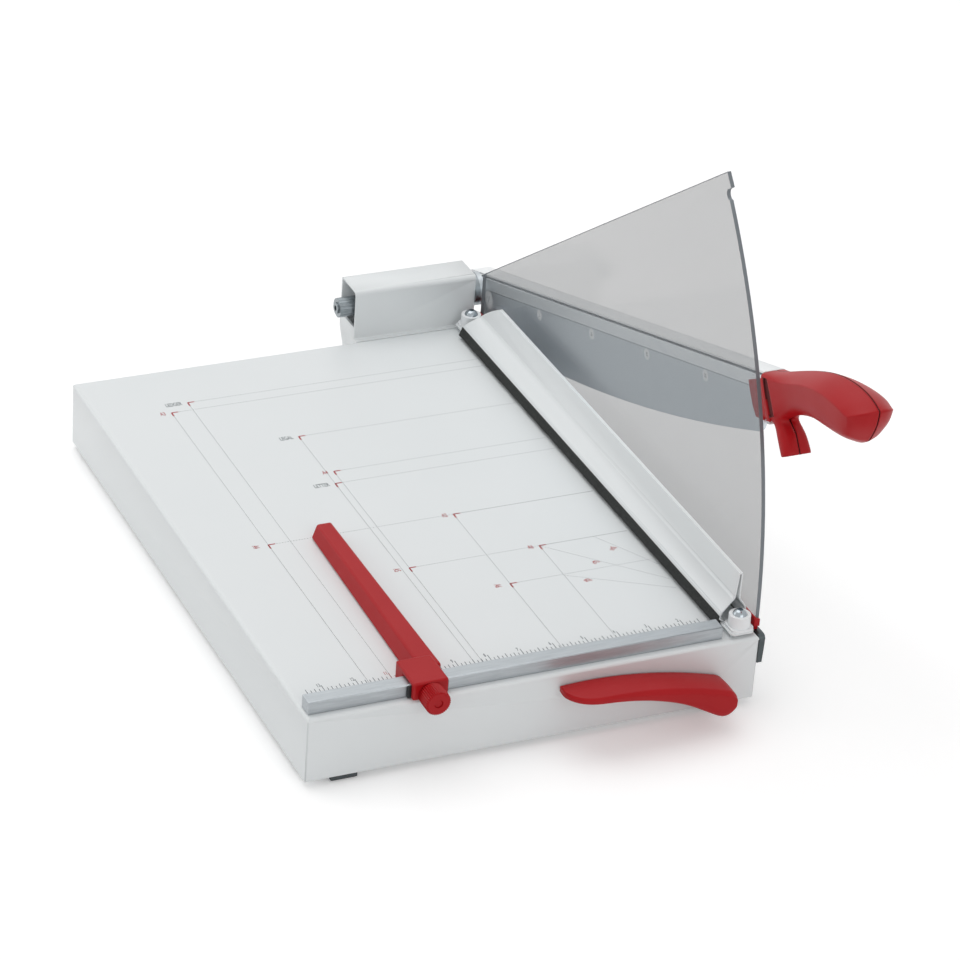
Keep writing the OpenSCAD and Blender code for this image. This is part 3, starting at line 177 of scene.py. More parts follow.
red_abs = moulded("moulded_red_abs", "#AC1118", "#A20E15", 0.4, shine=0.2)
white_abs = moulded("moulded_white_abs", "#EFF1F2", "#E9ECEE", 0.36)
black_abs = moulded("moulded_black_abs", "#2B2D2E", "#242626", 0.45)
foot_rubber = moulded("pressed_grey_rubber", "#505658", "#474C4E", 0.7, grain_mm=1.4, depth=0.3)
zinc_flake = moulded("zinc_flake_lacquer", "#F8FAFB", "#ECEFF1", 0.4)
# its dark red is painted shade: it darkens the seam between the grip's halves and the slot beside the lap
shadow_red = moulded("painted_shade_red_abs", "#5A1414", "#480F10", 0.7)
foam_rubber = moulded("cellular_foam_rubber", "#464847", "#1C1D1D", 0.9, grain_mm=1.1, depth=0.9, shine=0.2,
                      shade_mm=1.6)
plastics = (red_abs, white_abs, black_abs, foot_rubber, zinc_flake, shadow_red, foam_rubber)
print("moulded finishes:", [finish.name for finish in plastics])

# %% [markdown]
# ## Metals
# Rolled, drawn and ground metal all carry fine scratches in one direction. A noise that is stretched
# along the piece gives them: the mapping's scale is small along the scratches and large across them. On small
# turned, cast or polished pieces no direction shows, so their grain is as long as it is wide.

# %% Brushed metals


def brushed(name, colour, shade, roughness, scratch_mm, depth=0.08):
    material, tree = new_material(name)
    spot = add(tree, "ShaderNodeTexCoord").outputs["Object"]
    stretch = [grains(size) for size in scratch_mm]
    lines = add(tree, "ShaderNodeMapping", Vector=spot, Scale=stretch).outputs["Vector"]
    scratch = add(tree, "ShaderNodeTexNoise", Vector=lines, Scale=1.0, Detail=4.0).outputs["Fac"]
    tint = add(tree, "ShaderNodeMix", COLOURS, {FIRST: linear(colour), SECOND: linear(shade)}, Factor=scratch)
    bump = add(tree, "ShaderNodeBump", Strength=depth, Distance=0.0002, Height=scratch)
    gloss = add(tree, "ShaderNodeMapRange", Value=scratch, To_Min=roughness - 0.05, To_Max=roughness + 0.08)
    metal = add(tree, "ShaderNodeBsdfPrincipled", Metallic=1.0, Normal=bump.outputs["Normal"],
                Roughness=gloss.outputs["Result"], Base_Color=tint.outputs[MIXED])
    add(tree, "ShaderNodeOutputMaterial", Surface=metal.outputs["BSDF"])
    return material


aluminium = brushed("anodised_aluminium", "#B6BBBE", "#9CA1A5", 0.44, (14, 1.3, 1.3), 0.2)
zinc = brushed("zinc_plated_steel", "#F6F8F9", "#DCE2E6", 0.4, (1.6, 33, 1.6))
blade_steel = brushed("ground_blade_steel", "#DFE5E9", "#C6CED4", 0.34, (1.1, 1.1, 25))
dark_steel = brushed("blackened_steel", "#5A6163", "#4C5254", 0.42, (1.4, 50, 1.4))
plain_steel = brushed("turned_steel", "#C4CACE", "#B2B8BC", 0.32, (3.3, 3.3, 3.3))
bronze = brushed("sintered_bronze", "#B08D57", "#9D7C4A", 0.45, (2, 2, 2))
grey_steel = brushed("machined_grey_steel", "#9BA2A6", "#868D91", 0.3, (3.3, 3.3, 3.3))
chrome = brushed("polished_chrome", "#A4ABB0", "#969DA2", 0.14, (8, 8, 8), 0.01)
cast_iron = brushed("machined_cast_iron", "#55585A", "#484B4D", 0.55, (4, 4, 4), 0.2)
metals = (aluminium, zinc, blade_steel, dark_steel, plain_steel, bronze, grey_steel, chrome, cast_iron)
print("metals:", [finish.name for finish in metals])

# %% [markdown]
# ## Smoked acrylic
# The finger guard is a clear sheet with a grey tint. A glass shader bends light, and lamps only shine through
# it with slow caustics, which would leave the arm behind it dark. A thin flat sheet bends nothing that one
# can see, so alpha does the work: each of its two faces holds back a part of what is seen through it. A
# faint haze in colour and gloss stands for the finger marks of daily use. The cut edge is sawn and not
# polished: saw marks scatter the light, so the edge is a satin grey.

# %% Smoked acrylic
HAZE_MM = 70.0
SAW_MM = 0.8
HELD_BACK = 0.34


def smoked(name, colour, shade):
    material, tree = new_material(name)
    spot = add(tree, "ShaderNodeTexCoord").outputs["Object"]
    haze = add(tree, "ShaderNodeTexNoise", Vector=spot, Scale=grains(HAZE_MM), Detail=2.0).outputs["Fac"]
    tint = add(tree, "ShaderNodeMix", COLOURS, {FIRST: linear(colour), SECOND: linear(shade)}, Factor=haze)
    gloss = add(tree, "ShaderNodeMapRange", Value=haze, To_Min=0.05, To_Max=0.11)
    sheet = add(tree, "ShaderNodeBsdfPrincipled", Base_Color=tint.outputs[MIXED], IOR=1.49, Alpha=HELD_BACK,
                Roughness=gloss.outputs["Result"])
    add(tree, "ShaderNodeOutputMaterial", Surface=sheet.outputs["BSDF"])
    return material


def sawn(name, colour, shade):
    material, tree = new_material(name)
    spot = add(tree, "ShaderNodeTexCoord").outputs["Object"]
    marks = add(tree, "ShaderNodeTexNoise", Vector=spot, Scale=grains(SAW_MM), Detail=2.0).outputs["Fac"]
    tint = add(tree, "ShaderNodeMix", COLOURS, {FIRST: linear(colour), SECOND: linear(shade)}, Factor=marks)
    bump = add(tree, "ShaderNodeBump", Strength=0.2, Distance=0.0001, Height=marks)
    edge = add(tree, "ShaderNodeBsdfPrincipled", Base_Color=tint.outputs[MIXED], IOR=1.49, Roughness=0.45,
               Normal=bump.outputs["Normal"])
    add(tree, "ShaderNodeOutputMaterial", Surface=edge.outputs["BSDF"])
    return material


acrylic = smoked("smoked_acrylic", "#585A5E", "#505256")
acrylic_edge = sawn("sawn_acrylic_edge", "#7C8287", "#6E7479")
print("guard sheet:", acrylic.name, acrylic_edge.name)

# %% [markdown]
# ## Dressing the CAD nodes
# Each CAD piece takes one of the finishes above. A new mesh could be made for each, but most of their shapes
# are right, so only the material slots change and every piece stays where its joints need it.

# %% Finishes for the CAD nodes
finishes = {
    grey_coat: ["base_tray", "pivot_housing", "clamp_bar"],
    white_coat: ["arm_cover"],
    red_abs: ["handle_left", "handle_right", "clamp_lever", "backstop", "thumb_knob", "guard_rail",
              "guard_pins"],
    white_abs: ["post_sleeves", "post_guides"],
    black_abs: ["backstop_shoe"],
    foam_rubber: ["clamp_foam"],
    foot_rubber: ["rubber_feet"],
    aluminium: ["side_ruler"],
    zinc: ["arm_bar", "pull_yokes", "cranks"],
    zinc_flake: ["blade_screws"],
    grey_steel: ["shaft_nut", "nut_screw", "thrust_washer"],
    blade_steel: ["blade"],
    dark_steel: ["bed_knife"],
    cast_iron: ["pivot_block"],
    bronze: ["pivot_bushes", "lever_bushes"],
    chrome: ["clamp_posts"],
    acrylic: ["guard"],
    plain_steel: ["foot_screws", "ruler_screws", "knife_screws", "housing_screws", "housing_nuts",
                  "block_screws", "return_spring_front", "return_spring_rear", "handle_screws", "pivot_shaft",
                  "hub_washer", "spring_washers", "lever_shaft", "lever_pin", "shaft_clips", "knob_screw"],
}
for finish, names in finishes.items():
    for name in names:
        nodes[name].data.materials.clear()
        nodes[name].data.materials.append(finish)
print("dressed:", sum(len(names) for names in finishes.values()))

# %% [markdown]
# ## Soft edges
# A CAD mesh is loose triangles with knife-sharp corners, and no real edge is that sharp: sheet is deburred,
# bar is drawn with a small radius and plastic shrinks round in its mould. The mesh itself stays as it is.
# A small geometry-nodes group welds it, shades it smooth up to a crease angle and marks the long sharp edges;
# a Bevel modifier then rounds the marked ones, so that they catch a thin line of light.

# %% Weld, smooth and mark
CREASE = math.radians(32)
WELD = 0.00001


def edge_marker(name, shortest_mm):
    group = bpy.data.node_groups.new(name, "GeometryNodeTree")
    group.interface.new_socket("Geometry", in_out="INPUT", socket_type="NodeSocketGeometry")
    group.interface.new_socket("Geometry", in_out="OUTPUT", socket_type="NodeSocketGeometry")
    mesh = add(group, "NodeGroupInput").outputs[0]
    mesh = add(group, "GeometryNodeMergeByDistance", Geometry=mesh, Distance=WELD).outputs[0]
    angle = add(group, "GeometryNodeInputMeshEdgeAngle").outputs["Unsigned Angle"]
    over = {"data_type": "FLOAT", "operation": "GREATER_THAN"}
    sharp = add(group, "FunctionNodeCompare", over, A=angle, B=CREASE).outputs["Result"]
    mesh = add(group, "GeometryNodeSetShadeSmooth", {"domain": "FACE"}, Geometry=mesh).outputs[0]
    mesh = add(group, "GeometryNodeSetShadeSmooth", {"domain": "EDGE"}, Geometry=mesh, Selection=sharp,
               Shade_Smooth=False).outputs[0]
    ends = add(group, "GeometryNodeInputMeshEdgeVertices")
    span = add(group, "ShaderNodeVectorMath", {"operation": "DISTANCE"},
               {0: ends.outputs["Position 1"], 1: ends.outputs["Position 2"]}).outputs["Value"]
    long = add(group, "FunctionNodeCompare", over, A=span, B=shortest_mm * MM).outputs["Result"]
    both = add(group, "FunctionNodeBooleanMath", {"operation": "AND"}, {0: sharp, 1: long}).outputs[0]
    mesh = add(group, "GeometryNodeStoreNamedAttribute", {"data_type": "FLOAT", "domain": "EDGE"},
               Geometry=mesh, Selection=both, Name="bevel_weight_edge", Value=1.0).outputs[0]
    add(group, "NodeGroupOutput", Geometry=mesh)
    return group


marked_edges = edge_marker("weld_smooth_and_mark", shortest_mm=2.0)
print("edge marker nodes:", len(marked_edges.nodes))

# %% Round the marked edges
edge_radius_mm = {
    "base_tray": 0.3, "side_ruler": 0.4, "bed_knife": 0.5, "guard_rail": 0.5, "backstop_shoe": 0.4,
    "pivot_housing": 0.3, "pivot_block": 0.6, "arm_bar": 0.4, "arm_cover": 0.3, "blade": 0.12,
    "clamp_bar": 0.25,
}
for name, node in nodes.items():
    marker = node.modifiers.new("weld_smooth_and_mark", "NODES")
    marker.node_group = marked_edges
    if name in edge_radius_mm:
        bevel = node.modifiers.new("edge_radius", "BEVEL")
        bevel.limit_method = "WEIGHT"
        bevel.width = edge_radius_mm[name] * MM
        bevel.segments = 2
        bevel.use_clamp_overlap = False
        bevel.harden_normals = True
print("rounded:", len(edge_radius_mm))

# %% [markdown]
# ## New pieces
# The moulded and soft pieces are remade here. Each is modelled in a bmesh, and one function turns that into
# an object at the origin, gives it its finish and lets it ride on the body that carries the real piece.

# %% From bmesh to a riding piece


def make_piece(name, shape, finish, body, replaced=()):
    bmesh.ops.recalc_face_normals(shape, faces=shape.faces)
    mesh = bpy.data.meshes.new(name)
    shape.to_mesh(mesh)
    shape.free()
    mesh.shade_smooth()
    mesh.materials.append(finish)
    piece = bpy.data.objects.new(name, mesh)
    bpy.context.scene.collection.objects.link(piece)
    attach(piece, body)
    if replaced:
        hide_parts(*replaced)
    print(name, "faces:", len(mesh.polygons))
    return piece


def subdivide(piece, levels):
    smooth = piece.modifiers.new("smooth", "SUBSURF")
    smooth.levels = levels
    smooth.render_levels = levels


def keep_edges(piece, degrees):
    piece.data.set_sharp_from_angle(angle=math.radians(degrees))


# %% [markdown]
# ## The guard sheet
# The guard's shape is right in the CAD model, but its faces need two finishes. A copy of its mesh is welded,
# its flat triangles are joined again, and every face that doesn't look sideways is a cut edge.

# %% Guard sheet
SIDEWAYS = 0.5
FLAT = math.radians(0.5)


def welded_copy(name):
    shape = bmesh.new()
    shape.from_mesh(nodes[name].data)
    bmesh.ops.remove_doubles(shape, verts=shape.verts, dist=WELD)
    bmesh.ops.dissolve_limit(shape, angle_limit=FLAT, verts=shape.verts, edges=shape.edges)
    return shape


guard_shape = welded_copy("guard")
guard_shape.normal_update()
for face in guard_shape.faces:
    face.material_index = int(abs(face.normal.x) < SIDEWAYS)
guard = make_piece("guard_sheet", guard_shape, acrylic, "base", ["guard"])
# alpha shades more than a clear sheet does, so the rays that light the knife behind it don't see the guard
guard.visible_shadow = False
guard.visible_diffuse = False
guard.visible_glossy = False
guard.data.materials.append(acrylic_edge)
keep_edges(guard, 30)

# %% [markdown]
# ## The table print
# Paper sizes are printed on the paint: a small red corner for each size, a fine grey line from it down to the
# ruler, a dotted one across to the clamp, and an inch scale along the ruler. A print could be a texture, but
# as thin strips it keeps sharp edges close up. Each strip is a cube, flattened to the ink's thickness and
# laid on the table; it reaches a little into the paint, and a few hundredths of a millimetre stand proud.

# %% Inks
INK_MM = 0.6


def screen_ink(name, colour, worn):
    material, tree = new_material(name)
    spot = add(tree, "ShaderNodeTexCoord").outputs["Object"]
    cover = add(tree, "ShaderNodeTexNoise", Vector=spot, Scale=grains(INK_MM), Detail=2.0).outputs["Fac"]
    tint = add(tree, "ShaderNodeMix", COLOURS, {FIRST: linear(colour), SECOND: linear(worn)}, Factor=cover)
    ink = add(tree, "ShaderNodeBsdfPrincipled", Roughness=0.5, IOR=1.5, Base_Color=tint.outputs[MIXED])
    add(tree, "ShaderNodeOutputMaterial", Surface=ink.outputs["BSDF"])
    return material


grey_ink = screen_ink("screen_printed_grey_ink", "#50585C", "#666E72")
red_ink = screen_ink("screen_printed_red_ink", "#98101A", "#A41E27")
print("inks:", grey_ink.name, red_ink.name)

# %% Strips and words
INK_UP = 0.03
INK_DOWN = 0.02
DOTTED, DASH, SPACE = 0.42, 1.0, 1.2
# share of a font's size that its capitals fill, how far the outline grows, and the letters' width
CAPITALS, BOLD, NARROW = 0.7, 0.02, 0.52


def strip(shape, start, end, width):
    a, b = Vector((*start, 0)), Vector((*end, 0))
    along = b - a
    size = Matrix.Diagonal((along.length * MM, width * MM, (INK_UP + INK_DOWN) * MM, 1))
    turn = Matrix.Rotation(math.atan2(along.y, along.x), 4, "Z")
    middle = place(*((a + b) / 2).xy, (INK_UP - INK_DOWN) / 2)
    bmesh.ops.create_cube(shape, size=1.0, matrix=Matrix.Translation(middle) @ turn @ size)


def dashes(shape, start, end):
    a, b = Vector(start), Vector(end)
    step = (b - a).normalized()
    for k in range(int((b - a).length / (DASH + SPACE))):
        first = a + step * k * (DASH + SPACE)
        strip(shape, first, first + step * DASH, DOTTED)


def word(shape, text, spot, height, degrees=0.0, align="LEFT"):
    curve = bpy.data.curves.new("word", "FONT")
    curve.body = text
    curve.size = height * MM / CAPITALS
    curve.align_x = align
    curve.align_y = "CENTER"
    curve.extrude = INK_UP * MM
    curve.offset = height * MM * BOLD
    letters = bpy.data.objects.new("word", curve)
    mesh = letters.to_mesh().copy()
    turn = Matrix.Rotation(math.radians(degrees), 4, "Z")
    mesh.transform(Matrix.Translation(place(*spot, 0)) @ turn @ Matrix.Diagonal((NARROW, 1, 1, 1)))
    shape.from_mesh(mesh)
    bpy.data.objects.remove(letters)
    bpy.data.meshes.remove(mesh)


# %% [markdown]
# Sizes come in two kinds: the A sizes have red words, the inch sizes grey ones. A turned sheet has its word
# turned too. Words this small fade away at the picture's distance, so they are drawn taller and narrower
# than the real ones.

# %% Paper sizes
INCH = 25.4
UNDER_CLAMP = 1
CLAMP_EDGE = (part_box("clamp_foam")[0].x - cut_x) / MM + UNDER_CLAMP
FINE, LINE_END, LINE_GAP = 0.2, 1.0, 1.0
CORNER = 5.5
CORNER_WIDTH = 1.2
WORD, WORD_LEFT = 5.0, 5
TURNED_LEFT, TURNED_UP = 10, 2
upright = {"A3": (297, 420), "A4": (210, 297), "A5": (148, 210), "A6": (105, 148)}
turned = {"A4": (297, 210), "A5": (210, 148), "A6": (148, 105)}
inch_sizes = {"LEDGER": (11 * INCH, 17 * INCH), "LEGAL": (8.5 * INCH, 14 * INCH),
              "LETTER": (8.5 * INCH, 11 * INCH)}
grey_print, red_print = bmesh.new(), bmesh.new()


def paper_corner(text, wide, deep, words, is_turned):
    strip(red_print, (-wide, deep), (-wide + CORNER, deep), CORNER_WIDTH)
    strip(red_print, (-wide, deep), (-wide, deep - CORNER), CORNER_WIDTH)
    strip(grey_print, (-wide, deep - CORNER), (-wide, LINE_END), FINE)
    dashes(grey_print, (-wide + CORNER + LINE_GAP, deep), (CLAMP_EDGE, deep))
    if is_turned:
        word(words, text, (-wide - TURNED_LEFT, deep + TURNED_UP), WORD, -90)
    else:
        word(words, text, (-wide - WORD_LEFT, deep), WORD, align="RIGHT")


for sizes, words, is_turned in ((upright, red_print, False), (turned, red_print, True),
                                (inch_sizes, grey_print, False)):
    for text, (wide, deep) in sizes.items():
        paper_corner(text, wide, deep, words, is_turned)
print("paper corners:", len(upright) + len(turned) + len(inch_sizes))

# %% [markdown]
# The inch scale stands a little behind the ruler. It is drawn with eight parts to the inch, because finer
# ones fade away at this distance. Three dotted lines near the clamp show common angles.

# %% Inch scale and angle lines
SCALE_FROM, SCALE_TO, PARTS = 1.5, 13.5, 8
TICK_START = 9.0
# where a tick ends: at a whole inch, at a half, at the quarters, and at the other eighths
TICK_ENDS = {0: 21.0, 4: 18.8, 2: 17.8, 6: 17.8}
SHORT_END = 16.8
# a real tick is half as wide; thinner ones fade away at this distance
TICK_WIDTH = 0.55
RED_INCH = 11
NUMBER, NUMBER_LEFT, NUMBER_Y = 4.0, 2.0, 21.0
for part in range(int(SCALE_FROM * PARTS), int(SCALE_TO * PARTS) + 1):
    x = -part * INCH / PARTS
    shape = red_print if part == RED_INCH * PARTS else grey_print
    strip(shape, (x, TICK_START), (x, TICK_ENDS.get(part % PARTS, SHORT_END)), TICK_WIDTH)
    if part % PARTS == 0:
        word(shape, str(part // PARTS), (x - NUMBER_LEFT, NUMBER_Y), NUMBER, align="CENTER")
# the three lines would meet on the cutting edge
angle_foot = Vector((0, 43))
# degrees, the far end of the dotted line and the middle of its word
angle_lines = ((45, (-105, 148), (-75, 113)), (30, (-60.6, 148), (-54, 127)),
               (60, (-105, 103.6), (-91.5, 91.5)))
for degrees, far, spot in angle_lines:
    line = (Vector(far) - angle_foot).normalized()
    near = angle_foot + line * (-CLAMP_EDGE / abs(line.x))
    dashes(grey_print, far, near)
    word(red_print, str(degrees) + "°", spot, WORD, -degrees, align="CENTER")
print_grey = make_piece("print_grey", grey_print, grey_ink, "base")
print_red = make_piece("print_red", red_print, red_ink, "base")
keep_edges(print_grey, 30)
keep_edges(print_red, 30)

# %% [markdown]
# ## The handle
# The grip is moulded in two halves that close over the end of the arm. Its section changes all the way: a
# neck that carries on the arm's cover, a slim waist with a hand stop below it, and a heavy end with a crowned
# top, hollow sides and a chisel face. Such a shape is a classic case for subdivision: a few eight-sided
# sections are bridged into a cage, some of its edges get a crease, and the modifier rounds the rest.
# The arm stands at an angle, so the handle is drawn along the arm: s beyond the arm's end, h above its line.

# %% The arm's own measures
ARM_TURN = math.radians(17.9)
PIVOT_Y, PIVOT_Z = 505.0, 24.0
ARM_LENGTH = 503.0
SEAM_X, SEAM = 11.0, 0.45


def on_arm(x, s, h):
    reach = ARM_LENGTH + s
    return place(x, PIVOT_Y - reach * math.cos(ARM_TURN) + h * math.sin(ARM_TURN),
                 PIVOT_Z + reach * math.sin(ARM_TURN) + h * math.cos(ARM_TURN))


print("arm end at", [round(c, 4) for c in on_arm(0, 0, 0)])

# %% Sections of the grip
neck_shape = ((0, 0), (0.5, 0), (0.92, 0.01), (1, 0.08), (1, 0.5), (1, 0.92), (0.8, 1), (0, 1))
grip_shape = ((0, 0), (0.5, 0.08), (0.85, 0.18), (1, 0.24), (0.92, 0.52), (0.86, 0.74), (0.55, 0.88), (0, 1))
TOP, SHOULDER, FOOT = 0, 3, 7
# top s and h, bottom s and h, half width, how far the flank trails the seam, share of the grip's shape
grip_rows = (
    (0.7, 13.0, 0.7, -22.0, 12.4, 0, 0.0), (2.2, 13.1, 10.0, -21.5, 12.4, 0, 0.0),
    (8.2, 13.4, 18.0, -19.5, 12.3, 0, 0.15), (20, 15.2, 27, -15.5, 12.0, 0, 0.6),
    (36, 18.4, 36, -13.0, 12.0, 0, 1), (54, 21.6, 48, -11.8, 13.2, 0, 1),
    (70, 24.0, 60, -12.0, 14.7, 0, 1), (88, 25.8, 73, -13.4, 16.4, 0, 1),
    (105, 25.3, 87, -15.4, 17.8, 0, 1), (121, 22.9, 102, -17.2, 18.9, 1, 1),
    (134, 19.2, 115, -18.0, 19.1, 3, 1), (143, 15.0, 125, -17.0, 18.6, 7, 1),
)
# half widths of the first rows on the right, where the neck is slimmer
right_neck = (8.5, 8.5, 9.2, 10.8)
# points of the chisel face, its rim first: distance from the seam, s and h
chisel_edge = ((0, 150.1, 9.2), (8.5, 148.3, 8.7), (14.5, 143, 7.5), (17.8, 136.5, 5.7), (16.6, 132.5, -1),
               (14.4, 128.5, -8.4), (8.5, 129.8, -12.8), (0, 132.8, -14.2))
chisel_face = ((0, 145.6, -2.5), (8.5, 143, -2.3), (14.5, 138.6, -1.2))


def grip_section(row, half):
    top_s, top_h, low_s, low_h, half_width, trail, share = row
    points = []
    for square, round_ in zip(neck_shape, grip_shape):
        u, q = (a + (b - a) * share for a, b in zip(square, round_))
        s = top_s + (low_s - top_s) * q - trail * u * u
        points.append(on_arm(SEAM_X + half * max(SEAM, u * half_width), s, top_h + (low_h - top_h) * q))
    return points


print("grip sections:", len(grip_rows) + 1)

# %% Helpers for a cage


def bridged(shape, rows):
    """Closes each row of vertices to a ring of edges and bridges it to the next. Gives the rings."""
    rings = [[shape.edges.new(pair) for pair in zip(row, row[1:] + row[:1])] for row in rows]
    for near, far in zip(rings, rings[1:]):
        bmesh.ops.bridge_loops(shape, edges=near + far)
    return rings


def face_of(shape, *corners):
    return next(face for face in shape.faces if set(face.verts) == set(corners))


def crease(shape, edge_chain, value):
    layer = shape.edges.layers.float.get("crease_edge") or shape.edges.layers.float.new("crease_edge")
    for a, b in zip(edge_chain, edge_chain[1:]):
        edge = shape.edges.get((a, b))
        if edge:
            edge[layer] = value


# %% [markdown]
# The hand stop is pulled out of the cage's lower faces in two steps, and the slot beside the lap is pushed
# into its side, as one would do by hand with the extrude tool. A crease of one keeps an edge quite sharp.

# %% Build one half
# s and h of the hand stop's rear and front edge after each pull, and its half width
stop_steps = (((12.4, -31.0), (27.0, -28.6), 11.0), ((19.6, -45.5), (31.6, -42.6), 11.6))
SHARP = 1.0
grip_creases = {TOP: SHARP, FOOT: SHARP, SHOULDER: 0.9}
CHISEL_ABOVE, CHISEL_BELOW, STOP_END_CREASE = 0.95, 0.85, 0.6
AT_SEAM = SEAM + 0.1
ROUNDING = 3


def pull(shape, face, targets):
    """Extrudes one face and moves its corners: targets gives the new place of each old corner."""
    fresh = bmesh.ops.extrude_discrete_faces(shape, faces=[face])["faces"][0]
    moved = {}
    for vert in fresh.verts:
        old = min(targets, key=lambda corner: (corner[1] - vert.co).length)
        moved[old[0]] = vert
        vert.co = old[2]
    return fresh, moved


def grip_half(half):
    shape = bmesh.new()
    shape.verts.layers.float.new("crease_vert")
    rows = []
    for k, row in enumerate(grip_rows):
        if half > 0 and k < len(right_neck):
            row = (*row[:4], right_neck[k], *row[5:])
        rows.append([shape.verts.new(spot) for spot in grip_section(row, half)])
    rows.append([shape.verts.new(on_arm(SEAM_X + half * max(SEAM, u), s, h)) for u, s, h in chisel_edge])
    bmesh.ops.edgeloop_fill(shape, edges=bridged(shape, rows)[0])
    m = [shape.verts.new(on_arm(SEAM_X + half * max(SEAM, u), s, h)) for u, s, h in chisel_face]
    q = rows[-1]
    for corners in ((q[0], q[1], m[1], m[0]), (q[1], q[2], m[2], m[1]), (q[2], q[3], q[4], m[2]),
                    (m[0], m[1], q[6], q[7]), (m[1], m[2], q[5], q[6]), (m[2], q[4], q[5]),
                    (q[0], m[0], q[7])):
        shape.faces.new(corners)
    for k, value in grip_creases.items():
        crease(shape, [row[k] for row in rows], value)
    crease(shape, rows[0] + rows[0][:1], SHARP)
    crease(shape, q[:SHOULDER + 1], CHISEL_ABOVE)
    crease(shape, q[SHOULDER:], CHISEL_BELOW)
    crease(shape, [q[TOP], m[0], q[FOOT]], SHARP)
    corners = {"rear_out": rows[1][FOOT - 1], "rear_in": rows[1][FOOT],
               "front_in": rows[2][FOOT], "front_out": rows[2][FOOT - 1]}
    face = face_of(shape, *corners.values())
    for rear, front, out in stop_steps:
        targets = []
        for key, vert in corners.items():
            x = SEAM_X + half * (out if key.endswith("out") else SEAM)
            spot = on_arm(x, *(rear if key.startswith("rear") else front))
            targets.append((key, vert.co.copy(), spot))
        before = corners
        face, corners = pull(shape, face, targets)
        for key in ("rear_in", "front_in"):
            crease(shape, [before[key], corners[key]], SHARP)
    ends = list(corners.values())
    crease(shape, ends + ends[:1], STOP_END_CREASE)
    crease(shape, [corners["rear_in"], corners["front_in"]], SHARP)
    # what faces the seam gets the dark red, painted shade for the gap between the halves
    for face in shape.faces:
        off_seam = [abs((vert.co.x - cut_x) / MM - SEAM_X) for vert in face.verts]
        face.material_index = int(max(off_seam) < AT_SEAM)
    return shape, rows


# %% Slot in the left half, and both halves
SLOT_DEPTH = 1.2
left_shape, left_rows = grip_half(-1)
rear_row, front_row = (row[SHOULDER:SHOULDER + 3] for row in left_rows[1:3])
sides = [face_of(left_shape, *rear_row[k:k + 2], *front_row[k:k + 2]) for k in (0, 1)]
rim = rear_row + front_row[::-1]
crease(left_shape, rim + rim[:1], SHARP)
corner_layer = left_shape.verts.layers.float["crease_vert"]
for vert in (rear_row[0], rear_row[-1], front_row[0], front_row[-1]):
    vert[corner_layer] = SHARP
pushed = bmesh.ops.extrude_face_region(left_shape, geom=sides)["geom"]
slot_floor = [v for v in pushed if isinstance(v, bmesh.types.BMVert)]
bmesh.ops.translate(left_shape, vec=(SLOT_DEPTH * MM, 0, 0), verts=slot_floor)
bmesh.ops.delete(left_shape, geom=sides, context="FACES")
# the slot's walls and floor take the dark red as well, painted shade that makes the shallow slot look deep
for face in {face for vert in slot_floor for face in vert.link_faces}:
    face.material_index = 1
grip_left = make_piece("grip_left", left_shape, red_abs, "arm", ["handle_left"])
right_shape = grip_half(1)[0]
grip_right = make_piece("grip_right", right_shape, red_abs, "arm", ["handle_right"])
for grip in (grip_left, grip_right):
    grip.data.materials.append(shadow_red)
    subdivide(grip, ROUNDING)

# %% [markdown]
# A flat tongue on the left half laps over the blade. It is drawn as an outline on the arm, filled, given its
# thickness and a small radius; a second, thicker outline next to the slot makes the rib.

# %% Lap tongue
tongue_line = ((-20, 4.5), (-2.4, 8.2), (1.0, 8.9), (1.0, -21.6), (-10.7, -21), (-15.2, -14), (-18, -4.5))
rib_line = ((-2.4, 8.4), (2.0, 9.4), (11.0, -21), (6.2, -21.2))
TONGUE_THICK, RIB_THICK, LAP_RADIUS = 1.0, 1.5, 0.4


def plate(shape, outline, thick):
    face = shape.faces.new([shape.verts.new(on_arm(0, s, h)) for s, h in outline])
    fresh = bmesh.ops.extrude_face_region(shape, geom=[face])["geom"]
    top = [v for v in fresh if isinstance(v, bmesh.types.BMVert)]
    bmesh.ops.translate(shape, vec=(-thick * MM, 0, 0), verts=top)
    edges = [e for v in top for e in v.link_edges]
    bmesh.ops.bevel(shape, geom=list(set(edges)), offset=LAP_RADIUS * MM, segments=2, profile=0.5,
                    affect="EDGES", material=-1)


tongue = bmesh.new()
plate(tongue, tongue_line, TONGUE_THICK)
plate(tongue, rib_line, RIB_THICK)
lap_tongue = make_piece("lap_tongue", tongue, red_abs, "arm")
keep_edges(lap_tongue, 40)

# %% [markdown]
# ## The clamp lever
# The lever is one solid moulding: a round hub, an arm that rises and thins out in a long curve, and a tip
# whose front corner is a big radius. Sections stand upright along its length, as ribs in a hull, and are
# bridged.

# %% Sections of the lever
LEVER_X, LEVER_Z = -43.5, -33.5
LEVER_LENGTH, HUB_RADIUS, HUB_LOW, TIP_THICK, RISE = 121.0, 11.0, 13.0, 5.5, 22.5
LEVER_FRONT, LEVER_BACK = -46.0, -18.5
CREST = LEVER_LENGTH * 0.84
CORNER_RADIUS = (LEVER_BACK - LEVER_FRONT) * 0.8
ROOT, TAPER = 30.0, 2.2
# the front edge's radius and the top's crown, each with its largest share of the section's height
SOFT, SOFT_SHARE, LOW_SOFT = 3.0, 0.3, 0.7
CROWN, CROWN_SHARE = 0.8, 0.06
BACK_LAND, BACK_DROP, BACK_LIFT = 1, 0.8, 0.5
# points of the section with a crease: both at the back, the front's upper one and the top's front one
lever_creases = {0: 0.8, 7: 0.8, 3: 0.6, 2: 0.7}
lever_stations = (-10.6, -9.2, -6, 0, 10, 20, 30, 44, 60, 76, 90, 101, 110, 116, 119.6, 120.8)


